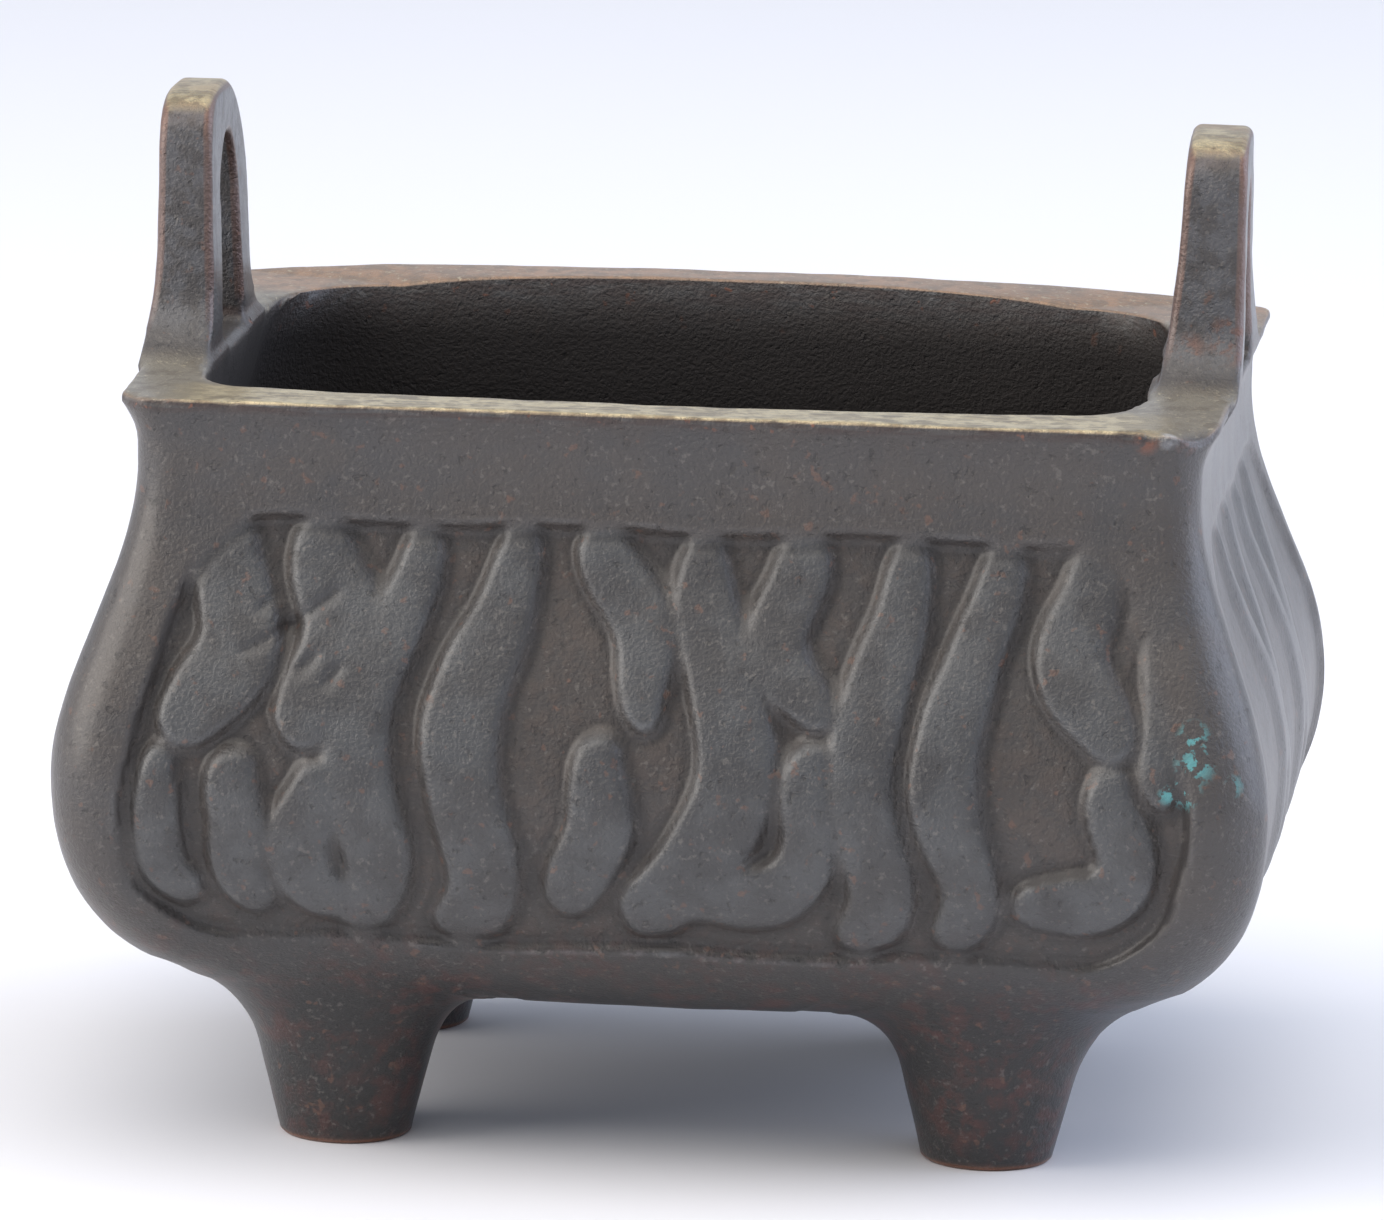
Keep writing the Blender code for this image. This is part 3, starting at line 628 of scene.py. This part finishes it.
def wrapped_sheet(points):
    """A closed tube of faces with a point for each row and column, its first and last columns merged."""
    rows, columns = points.shape[:2]
    bm = bmesh.new()
    bmesh.ops.create_grid(bm, x_segments=columns - 1, y_segments=rows - 1, size=0.5)
    bm.verts.ensure_lookup_table()
    low = bm.verts[0].co.copy()
    high = bm.verts[-1].co.copy()
    for vert in bm.verts:
        column = round((vert.co.x - low.x) / (high.x - low.x) * (columns - 1))
        row = round((vert.co.y - low.y) / (high.y - low.y) * (rows - 1))
        vert.co = points[row, column]
    bmesh.ops.remove_doubles(bm, verts=bm.verts, dist=MERGE_DISTANCE)
    return bm


def closed(bm):
    """Fill the open ends and turn all faces outwards."""
    bmesh.ops.holes_fill(bm, edges=[edge for edge in bm.edges if edge.is_boundary], sides=0)
    bmesh.ops.recalc_face_normals(bm, faces=bm.faces)
    return bm


def as_object(name, bm):
    mesh = bpy.data.meshes.new(name)
    bm.to_mesh(mesh)
    bm.free()
    made = bpy.data.objects.new(name, mesh)
    bpy.context.scene.collection.objects.link(made)
    return made


# Feet

def underside_height(x, y):
    """Height of the bowl's outer surface above points of its plan."""
    low = np.full(np.shape(x), UNDERSIDE_HEIGHT)
    high = np.full(np.shape(x), BELLY_HEIGHT)
    for _ in range(HALVINGS):
        middle = (low + high) / 2
        corner = corner_at(middle)
        over_x = np.maximum(np.abs(x) - tapered(half_length(middle), y) + corner, 0)
        over_y = np.maximum(np.abs(y) - half_depth(middle) + corner, 0)
        covered = np.hypot(over_x, over_y) < corner
        high = np.where(covered, middle, high)
        low = np.where(covered, low, middle)
    return high


def foot(along, across):
    """A tapering foot. Its fillet turns where its straight side meets the tangent of the bowl's surface."""
    x = along * FOOT_SPACING_LENGTH / 2
    y = across * FOOT_SPACING_DEPTH / 2
    angles = 2 * math.pi * (np.arange(FOOT_SIDES + 1) % FOOT_SIDES) / FOOT_SIDES

    def surface(radius):
        return underside_height(x + radius * np.cos(angles), y + radius * np.sin(angles))

    def slope(radius):
        return (surface(radius + SLOPE_STEP) - surface(radius)) / SLOPE_STEP

    end = np.full(len(angles), FOOT_RADIUS + FOOT_TAPER * UNDERSIDE_HEIGHT)
    for _ in range(FOOT_REACH_STEPS):
        end += FOOT_FILLET / FOOT_REACH_STEPS / np.hypot(1, slope(end))
    end_height = surface(end)
    turn_height = (end_height - slope(end) * (end - FOOT_RADIUS)) / (1 - slope(end) * FOOT_TAPER)
    turn = FOOT_RADIUS + FOOT_TAPER * turn_height
    start_height = turn_height - FOOT_FILLET
    start = FOOT_RADIUS + FOOT_TAPER * start_height
    sole = end * 0
    rows = []
    for step in range(FOOT_EDGE_STEPS + 1):
        bend = math.pi / 2 * step / FOOT_EDGE_STEPS
        rows.append((sole + FOOT_RADIUS - FOOT_EDGE * (1 - math.sin(bend)),
                     sole + FOOT_EDGE * (1 - math.cos(bend))))
    for step in range(1, FOOT_SIDE_STEPS):
        share = step / FOOT_SIDE_STEPS
        rows.append((mix(FOOT_RADIUS, start, share), mix(FOOT_EDGE, start_height, share)))
    for step in range(FOOT_FILLET_STEPS + 1):
        share = step / FOOT_FILLET_STEPS
        rows.append((mix(mix(start, turn, share), mix(turn, end, share), share),
                     mix(mix(start_height, turn_height, share), mix(turn_height, end_height, share), share)))
    rows.append((end, end_height + FOOT_EMBED))
    points = [np.stack((x + radius * np.cos(angles), y + radius * np.sin(angles), height), axis=-1)
              for radius, height in rows]
    return as_object("foot", closed(wrapped_sheet(np.array(points))))


# Loop handles

def arch_line(rise, half_width, arch, fillet, outward, shoulder):
    """Half of an arch, from its root up to its crown, as distance from the middle and height."""
    spring = rise - arch
    line = []
    for step in range(HANDLE_STEPS):
        height = mix(-HANDLE_EMBED, spring, step / HANDLE_STEPS)
        rest = max(fillet - max(height, 0.0), 0.0)
        spread = fillet - math.sqrt(fillet ** 2 - rest ** 2)
        splay = HANDLE_SPLAY * (1 - max(height, 0.0) / spring)
        line.append((half_width + splay + outward * spread, height))
    for step in range(HANDLE_STEPS + 1):
        angle = math.pi / 2 * step / HANDLE_STEPS
        width = half_width * max(math.cos(angle), 0.0) ** (2 / shoulder)
        line.append((width, spring + arch * math.sin(angle) ** (2 / shoulder)))
    return line


def full_arch(rise, half_width, arch, fillet, outward, front_shoulder, back_shoulder):
    """An arch from the root of its back leg over the crown to the root of its front leg."""
    back = arch_line(rise, half_width, arch, fillet, outward, back_shoulder)
    front = arch_line(rise, half_width, arch, fillet, outward, front_shoulder)
    return back + [(-y, z) for y, z in reversed(front[:-1])]


def rounded_ring(half_wide, half_thick, radius):
    """Points around a rounded rectangle, closed by its first point again."""
    ring = []
    for turn, (u, v) in enumerate(((1, 1), (-1, 1), (-1, -1), (1, -1))):
        for step in range(HANDLE_RING):
            angle = math.pi / 2 * (turn + step / (HANDLE_RING - 1))
            ring.append((u * (half_wide - radius) + radius * math.cos(angle),
                         v * (half_thick - radius) + radius * math.sin(angle)))
    return ring + ring[:1]


def handle(side, sizes):
    """An upright loop: a rounded bar swept along its arch, its roots let into the lip."""
    rise, crown_thickness, root_thickness, stand_out, front_spread, back_spread = sizes
    half_width = HANDLE_WIDTH / 2
    outer = full_arch(rise, half_width, HANDLE_ARCH, HANDLE_FILLET, 1, FRONT_SHOULDER, BACK_SHOULDER)
    inner = full_arch(rise - HANDLE_BAR, half_width - HANDLE_LEG, HANDLE_ARCH - HANDLE_BAR, OPENING_FILLET,
                      -1, BACK_SHOULDER, BACK_SHOULDER)
    rows = []
    for (outer_y, outer_z), (inner_y, inner_z) in zip(outer, inner):
        middle = (outer_z + inner_z) / 2
        risen = min(max(middle / rise, 0.0), 1.0) ** ROOT_POWER
        thickness = mix(root_thickness, crown_thickness, risen)
        tuck = HANDLE_TUCK * min(middle, 0.0) / HANDLE_EMBED
        width = math.hypot(outer_y - inner_y, outer_z - inner_z)
        row = []
        for u, v in rounded_ring(width / 2, thickness / 2, HANDLE_EDGE):
            toward = 0.5 + u / width
            y, z = mix(inner_y, outer_y, toward), mix(inner_z, outer_z, toward)
            low = max(1 - max(z, 0.0) / SPREAD_HEIGHT, 0.0)
            spread = mix(front_spread, back_spread, min(max(y / half_width, 0.0), 1.0)) * low ** SPREAD_POWER
            out = mix(stand_out - thickness - tuck, stand_out + spread + tuck, 0.5 + v / thickness)
            row.append((side * (RIM_LENGTH / 2 + out), y, RIM_HEIGHT + z))
        rows.append(row)
    return as_object("handle", closed(wrapped_sheet(np.array(rows))))


# The casting

def united(body, tools):
    """The body joined with the tools into one closed mesh."""
    for tool in tools:
        union = body.modifiers.new("join", "BOOLEAN")
        union.operation = "UNION"
        union.solver = "MANIFOLD"
        union.object = tool
    shape = body.evaluated_get(bpy.context.evaluated_depsgraph_get())
    mesh = bpy.data.meshes.new_from_object(shape)
    body.modifiers.clear()
    body.data = mesh
    for tool in tools:
        bpy.data.objects.remove(tool, do_unlink=True)


def root_passes(place):
    """How often a place is smoothed: most in the seams where feet and handles grow out of the bowl."""
    x, y, z = place
    away = math.hypot(abs(x) - FOOT_SPACING_LENGTH / 2, abs(y) - FOOT_SPACING_DEPTH / 2)
    if FOOT_ROOT_BOTTOM < z < PANEL_BOTTOM and FOOT_ROOT_INNER < away < FOOT_ROOT_OUTER:
        return ROOT_SMOOTHING
    beside = abs(x) > HANDLE_ROOT_INNER and abs(y) < HANDLE_ROOT_HALF_WIDTH
    if beside and HANDLE_ROOT_BOTTOM < z < HANDLE_ROOT_TOP:
        return min(ROOT_SMOOTHING, (HANDLE_ROOT_HALF_WIDTH - abs(y)) / ROOT_FADE)
    return 0


def softened_roots(bm):
    """Ease the seams left by the joining into fillets."""
    passes = {vert: root_passes(vert.co) for vert in bm.verts}
    for done in range(ROOT_SMOOTHING):
        seams = [vert for vert in bm.verts if passes[vert] > done]
        bmesh.ops.smooth_vert(bm, verts=seams, factor=0.5, use_axis_x=True, use_axis_y=True, use_axis_z=True)


def roughened(bm):
    """The unevenness of an old casting: broad dents, small pits, and chips along the lip."""
    bm.normal_update()
    for vert in bm.verts:
        if vert.co.z > SOLE_SKIN:
            place = vert.co / MM
            dent = sum(depth * noise.noise(place / size + Vector(start)) for depth, size, start in DENTS)
            vert.co += vert.normal * (dent - SKIN_SINK) * MM
    for x, y, z, radius, depth in CHIPS:
        centre = Vector((x, y, z)) * MM
        inward = -Vector((x / CHIP_SLANT[0], y / CHIP_SLANT[1], 1)).normalized()
        for vert in bm.verts:
            near = 1 - (vert.co - centre).length / (radius * MM)
            if near > 0:
                vert.co += inward * depth * MM * near * near * (3 - 2 * near)


def vertex_table(mesh, what):
    """Places or normals of all points of a mesh, one row for each."""
    table = np.empty(len(mesh.vertices) * 3)
    mesh.vertices.foreach_get(what, table)
    return table.reshape(-1, 3)


def bend_of(mesh, places, normals):
    """How much the surface bends outwards at each point, per millimetre. Below 0 it bends inwards."""
    ends = np.empty(len(mesh.edges) * 2, dtype=np.int64)
    mesh.edges.foreach_get("vertices", ends)
    first, second = ends.reshape(-1, 2).T
    step = places[second] - places[first]
    bend = ((normals[second] - normals[first]) * step).sum(1) / np.maximum((step ** 2).sum(1), 1e-12)
    total = np.zeros(len(places))
    edges = np.zeros(len(places))
    for here in (first, second):
        np.add.at(total, here, bend)
        np.add.at(edges, here, 1)
    return total / np.maximum(edges, 1) * MM


def relief_marks(places, normals, bend):
    """What patina, painted shade and glints follow in the relief: bends, sunk ground, strokes and the lines
    along their edges.
    """
    x, y, z = places.T
    forms = np.zeros((3, len(places)))
    for outward, half_width, strokes in PANELS:
        facing = normals[:, 0] * outward[0] + normals[:, 1] * outward[1]
        reach = x * outward[0] + y * outward[1]
        skin = (half_length(z) if outward[0] else half_depth(z)) - FORMS_WALL
        here = (facing > FORMS_FACING) & (reach > skin)
        here &= (z < PANEL_TOP + FORMS_MARGIN) & (z > PANEL_BOTTOM - FORMS_MARGIN)
        forms[:, here] = panel_forms(outward, half_width, strokes, x[here], y[here], z[here])[:3]
        if outward != (0, -1):
            forms[:, here] *= PLAIN_PATINA_AND_SHADE
    return {"convex": np.clip(bend, 0, 1), "hollow": np.clip(-bend, 0, 1), "sunk": forms[0],
            "raised": forms[1], "shaded_groove": forms[2]}


def wear_marks(places, normals):
    """Where the patina is rubbed away, dull or coppery, with painted light on the lip's flat, painted shade
    on the low parts and the inside, and the parts that have a tone of their own.
    """
    x, y, z = places.T

    # The lip's flat, without the roots of the handles, and its side
    upward = rising(normals[:, 2], 0.4, 0.4)
    lip = upward * rising(z, RIM_HEIGHT - 0.7 * MM, 0.4 * MM) * (z < LIP_CREST)
    lip = lip * np.maximum(falling(np.abs(x), BETWEEN_ROOTS, MM), rising(np.abs(y), BESIDE_ROOTS, 3 * MM))
    lip_side = (1 - upward) * rising(z, RIM_HEIGHT - 1.3 * MM, 0.5 * MM) * (z < RIM_HEIGHT + 1.2 * MM)
    front = rising(-y, RUBBED_FRONT, 2 * MM) * falling(np.abs(x), RUBBED_HALF_LENGTH, 5 * MM)

    # Handles and feet
    handles = rising(z, RIM_HEIGHT + MM, 2 * MM)
    crowns = rising(normals[:, 2], 0.6, 0.3) * rising(z, CROWN_HEIGHT, MM)
    soles = falling(z, 1.2 * MM, MM)

    # The bowl's inside: what faces inwards, and the floor, all darkened with painted shade
    inward = normals[:, 0] * x + normals[:, 1] * y < 0
    floor = (normals[:, 2] > 0.5) & (z < BELLY_HEIGHT)
    inside = (inward | floor) & (z > FLOOR_HEIGHT - 0.6 * MM) & (z < RIM_HEIGHT) & (normals[:, 2] > -0.8)
    return {"rubbed": np.maximum(lip * front, crowns * 0.8), "dulled_with_painted_light": lip * (1 - front),
            "coppery_with_painted_light": lip * rising(y, COPPERY_BACK, 4 * MM), "lip_edge": lip_side,
            "low": falling(z, LOW_HEIGHT, LOW_FADE), "inside": inside * falling(z, RIM_HEIGHT, 0.7 * MM),
            "handles": handles, "worn_edge": np.maximum.reduce([soles, handles * 0.85, lip])}


def stored_marks(mesh):
    """Store what the patina, painted shade and painted highlights follow as values of the mesh's points, and
    give their names.
    """
    places, normals = vertex_table(mesh, "co"), vertex_table(mesh, "normal")
    marks = relief_marks(places, normals, bend_of(mesh, places, normals)) | wear_marks(places, normals)
    for name, values in marks.items():
        layer = mesh.attributes.new(name, "FLOAT", "POINT")
        layer.data.foreach_set("value", values.astype(np.float32))
    return list(marks)


# Materials

def add_node(tree, kind, inputs=None, **settings):
    """Add a node, set its properties, and set or link its inputs."""
    node = tree.nodes.new(kind)
    for name, value in settings.items():
        setattr(node, name, value)
    for key, value in (inputs or {}).items():
        if isinstance(value, bpy.types.NodeSocket):
            tree.links.new(value, node.inputs[key])
        else:
            node.inputs[key].default_value = value
    return node


def ranged(tree, value, low, high, interpolation="LINEAR"):
    """A value with its low end at 0 and its high end at 1."""
    return add_node(tree, "ShaderNodeMapRange", {
        "Value": value, "From Min": low, "From Max": high}, interpolation_type=interpolation).outputs[0]


def multiplied(tree, amount, marks, names):
    """An amount times each of the named marks."""
    for name in names:
        product = add_node(tree, "ShaderNodeMath", {0: amount, 1: marks[name]}, operation="MULTIPLY")
        amount = product.outputs[0]
    return amount


def new_material(name):
    material = bpy.data.materials.new(name)
    material.use_nodes = True
    return material, material.node_tree.nodes["Principled BSDF"]


# Patterns: sizes in millimetres along, through and up, detail, and the noise values that become 0 and 1
PATTERNS = {
    "broad": ((16, 16, 16), 3, 0.35, 0.65),
    "clouds": ((5, 5, 5), 4, 0.38, 0.62),
    "mottle": ((1.5, 1.5, 1.5), 4, 0.42, 0.62),
    "specks": ((1.1, 1.1, 1.1), 2, 0.64, 0.72),
    "pits": ((0.8, 0.8, 0.8), 3, 0.60, 0.74),
    "grain": ((0.3, 0.3, 0.3), 2, 0.30, 0.70),
    "scratches": ((4, 4, 0.35), 3, 0.64, 0.78),
    "streaks": ((5, 0.5, 0.5), 4, 0.36, 0.60),
    "crust": ((1.1, 1.1, 1.1), 4, 0.51, 0.57),
    "dust": ((0.5, 0.5, 0.5), 3, 0.58, 0.70),
}

# Layers from below upwards: colour, roughness, metallic, share, and the marks that the share follows
BASE = ("#423e3c", 0.5, 0.25)
LAYERS = [
    ("#3f3f41", 0.46, 0.35, 0.50, ("broad",)),
    ("#48403a", 0.56, 0.20, 0.40, ("clouds",)),
    ("#373738", 0.44, 0.30, 0.60, ("raised",)),
    # Bluish grey patches on the strokes: partly their own tone, partly a painted sheen
    ("#63676a", 0.36, 0.60, 0.30, ("raised", "clouds")),
    ("#37312d", 0.64, 0.10, 0.60, ("sunk",)),
    ("#4c4038", 0.70, 0.10, 0.40, ("sunk", "mottle")),
    ("#5c5d61", 0.42, 0.40, 0.60, ("handles",)),
    ("#332c27", 0.60, 0.20, 0.60, ("handles", "mottle")),
    # Darker towards the bottom: painted shade on the low parts; the red-brown patches over it are the
    # patina's own colour
    ("#131212", 0.55, 0.10, 0.88, ("low",)),
    ("#4c2822", 0.60, 0.20, 0.70, ("low", "clouds", "mottle")),
    ("#6f4f3f", 0.60, 0.20, 0.45, ("specks",)),
    ("#221e1c", 0.80, 0.00, 0.45, ("pits",)),
    ("#75706a", 0.70, 0.00, 0.35, ("dust",)),
    # Painted shade in the grooves along the strokes' feet and in the line inside the front border
    ("#221e1c", 0.80, 0.00, 0.60, ("shaded_groove",)),
    # Painted shade in inward bends
    ("#221e1c", 0.80, 0.00, 0.30, ("crease_shade",)),
    # Pale grey on outward bends: partly worn edges, partly painted glints
    ("#8b8e90", 0.36, 0.60, 0.25, ("edge", "mottle")),
    ("#6b6a69", 0.40, 0.40, 0.15, ("scratches",)),
    ("#35231d", 0.65, 0.10, 0.75, ("lip_edge", "streaks")),
    ("#8a5238", 0.60, 0.30, 0.60, ("lip_edge", "specks")),
    # Painted shade over the whole inside
    ("#2b2726", 0.85, 0.00, 0.95, ("inside",)),
    ("#85563c", 0.48, 0.60, 0.80, ("edge", "worn_edge")),
    # The lip's flat: dulled and coppery tones, partly worn metal, partly painted light on the flat that faces
    # up
    ("#918a7b", 0.48, 0.40, 0.75, ("dulled_with_painted_light",)),
    ("#a9805f", 0.48, 0.50, 0.75, ("coppery_with_painted_light",)),
    ("#5b5246", 0.55, 0.20, 0.60, ("dulled_with_painted_light", "mottle")),
    ("#7b6a5a", 0.55, 0.30, 0.60, ("coppery_with_painted_light", "clouds")),
    ("#c0b69c", 0.42, 0.60, 0.60, ("dulled_with_painted_light", "dust")),
    ("#b8a985", 0.42, 0.75, 0.92, ("rubbed",)),
    ("#5c4e3a", 0.50, 0.40, 0.75, ("rubbed", "streaks")),
    ("#dccda6", 0.38, 0.85, 0.65, ("rubbed", "mottle")),
    ("#9c7350", 0.45, 0.60, 0.45, ("rubbed", "handles", "clouds")),
]

# A thin gloss over all, and the finest unevenness: heights in millimetres and the marks that they follow
COAT, COAT_ROUGHNESS = 0.6, 0.31
FINE_HEIGHTS = (
    (0.06, ("grain",)),
    (0.015, ("mottle",)),
    (0.07, ("mottle", "sunk")),
    (-0.1, ("pits",)),
    (-0.03, ("scratches",)),
    (0.06, ("streaks", "rubbed")),
)


def patina_marks(tree, stored):
    """All that the patina, painted shade and painted highlights follow, as values between 0 and 1: patterns,
    stored values and spots.
    """
    place = add_node(tree, "ShaderNodeTexCoord").outputs["Object"]
    marks = {}
    for name, (sizes, detail, low, high) in PATTERNS.items():
        scaled = add_node(tree, "ShaderNodeMapping", {
            "Vector": place, "Scale": tuple(1 / (size * MM) for size in sizes)})
        field = add_node(tree, "ShaderNodeTexNoise", {
            "Vector": scaled.outputs[0], "Scale": 1.0, "Detail": detail, "Roughness": 0.6})
        marks[name] = ranged(tree, field.outputs[0], low, high, "SMOOTHSTEP")
    for name in stored:
        marks[name] = add_node(tree, "ShaderNodeAttribute", attribute_name=name).outputs["Fac"]
    # Outward bends, for worn edges and painted glints
    marks["edge"] = ranged(tree, marks["convex"], 0.35, 1.0)
    # Inward bends, where shade is painted
    marks["crease_shade"] = ranged(tree, marks["hollow"], 0.25, 0.9)
    for index, (x, y, z, radius, _) in enumerate(SPOTS):
        away = add_node(tree, "ShaderNodeVectorMath", {
            0: place, 1: (x * MM, y * MM, z * MM)}, operation="DISTANCE").outputs["Value"]
        marks["spot_" + str(index)] = ranged(tree, away, radius * MM, SPOT_CORE * radius * MM)
    return marks


def cast_bronze_patina(stored):
    """Cast bronze under an old dark brown patina: satin, a little bluish where it is smooth and raised,
    partly through a painted sheen, brown and mottled in the sunk ground, rubbed through to pale metal on the
    lip and the handle tops.
    Painted shade darkens its grooves, creases, low parts and inside, and painted highlights lie on its
    outward edges, the lip's flat and one corner of the lip."""
    material, shader = new_material("cast_bronze_dark_patina")
    tree = material.node_tree
    marks = patina_marks(tree, stored)
    layers = list(LAYERS)
    for index, spot in enumerate(SPOTS):
        *finish, pattern = SPOT_KINDS[spot[-1]]
        layers.append((*finish, ("spot_" + str(index), pattern)))

    # A Mix node has its share in socket 0, its numbers in sockets 2 and 3 and its colours in 6 and 7
    colour, roughness, metallic = linear(BASE[0]), *BASE[1:]
    for layer_colour, layer_roughness, layer_metallic, share, names in layers:
        share = multiplied(tree, share, marks, names)
        colour = add_node(tree, "ShaderNodeMix", {
            0: share, 6: colour, 7: linear(layer_colour)}, data_type="RGBA").outputs[2]
        roughness = add_node(tree, "ShaderNodeMix", {0: share, 2: roughness, 3: layer_roughness}).outputs[0]
        metallic = add_node(tree, "ShaderNodeMix", {0: share, 2: metallic, 3: layer_metallic}).outputs[0]
    height = 0.0
    for amount, names in FINE_HEIGHTS:
        part = multiplied(tree, amount, marks, names)
        height = add_node(tree, "ShaderNodeMath", {0: height, 1: part}).outputs[0]
    bump = add_node(tree, "ShaderNodeBump", {"Height": height, "Distance": MM, "Strength": 1.0})
    for socket, value in (("Base Color", colour), ("Roughness", roughness), ("Metallic", metallic),
                          ("Normal", bump.outputs[0])):
        tree.links.new(value, shader.inputs[socket])
    shader.inputs["Coat Weight"].default_value = COAT
    shader.inputs["Coat Roughness"].default_value = COAT_ROUGHNESS
    return material


# Floor, light and camera

def plain_material(name, hex_colour, roughness):
    material, shader = new_material(name)
    shader.inputs["Base Color"].default_value = linear(hex_colour)
    shader.inputs["Roughness"].default_value = roughness
    return material


def pale_floor():
    bm = bmesh.new()
    bmesh.ops.create_grid(bm, x_segments=1, y_segments=1, size=2.5)
    floor = as_object("floor", bm)
    floor.data.materials.append(plain_material("pale_paper", "#ecedf2", 0.9))


def area_light(name, place, size, power, hex_colour):
    light = bpy.data.lights.new(name, "AREA")
    light.shape = "DISK"
    light.size = size
    light.energy = power
    light.color = linear(hex_colour)[:3]
    lamp = bpy.data.objects.new(name, light)
    lamp.location = place
    lamp.rotation_euler = (Vector(LIGHTS_AIM) - Vector(place)).to_track_quat("-Z", "Y").to_euler()
    bpy.context.scene.collection.objects.link(lamp)


def pale_surroundings(hex_colour, front_strength, back_strength):
    """Soft light from all around, weaker from the front."""
    world = bpy.data.worlds.new("pale_surroundings")
    world.use_nodes = True
    tree = world.node_tree
    background = tree.nodes["Background"]
    background.inputs["Color"].default_value = linear(hex_colour)
    direction = add_node(tree, "ShaderNodeTexCoord").outputs["Generated"]
    parts = add_node(tree, "ShaderNodeSeparateXYZ", {0: direction}).outputs
    strength = add_node(tree, "ShaderNodeMapRange", {
        "Value": parts["Y"], "From Min": -0.7, "From Max": 0.2, "To Min": front_strength,
        "To Max": back_strength}).outputs[0]
    tree.links.new(strength, background.inputs["Strength"])
    bpy.context.scene.world = world


def camera():
    yaw, pitch, roll = (math.radians(angle) for angle in (CAMERA_YAW, CAMERA_PITCH, CAMERA_ROLL))
    ahead = Vector((-math.sin(yaw) * math.cos(pitch), math.cos(yaw) * math.cos(pitch), -math.sin(pitch)))
    level = ahead.cross(Vector((0, 0, 1))).normalized()
    upright = level.cross(ahead)
    right = math.cos(roll) * level + math.sin(roll) * upright
    up = math.cos(roll) * upright - math.sin(roll) * level
    data = bpy.data.cameras.new("camera")
    data.lens = CAMERA_LENS
    data.sensor_width = CAMERA_SENSOR
    data.sensor_fit = "HORIZONTAL"
    data.clip_start = 0.05
    data.clip_end = 50
    made = bpy.data.objects.new("camera", data)
    place = Vector(CAMERA_TARGET) - ahead * CAMERA_DISTANCE
    turn = Matrix((right, up, -ahead)).transposed().to_4x4()
    made.matrix_world = Matrix.Translation(place) @ turn
    bpy.context.scene.collection.objects.link(made)
    bpy.context.scene.camera = made


def casting():
    body = as_object("bronze_casting", closed(wrapped_sheet(skin_points())))
    tools = [foot(along, across) for along in (-1, 1) for across in (-1, 1)]
    tools += [handle(-1, LEFT_HANDLE), handle(1, RIGHT_HANDLE)]
    united(body, tools)
    bm = bmesh.new()
    bm.from_mesh(body.data)
    softened_roots(bm)
    roughened(bm)
    bm.to_mesh(body.data)
    bm.free()
    body.data.shade_smooth()
    stored = stored_marks(body.data)
    body.data.transform(Matrix.Translation(STANDING_POINT))
    body.data.materials.clear()
    body.data.materials.append(cast_bronze_patina(stored))
    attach(body, "root")
    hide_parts("censer")


bpy.context.scene.view_settings.view_transform = "Standard"
camera()
pale_floor()
pale_surroundings("#e6edfa", 0.54, 0.78)
area_light("top_window", (-0.05, -0.4, 1.2), 1.6, 11, "#fff6ea")
area_light("left_window", (-0.8, -0.3, 0.4), 0.8, 6.5, "#fff8f0")
area_light("right_window", (0.8, 0.2, 0.4), 0.9, 5, "#dde7ff")
casting()
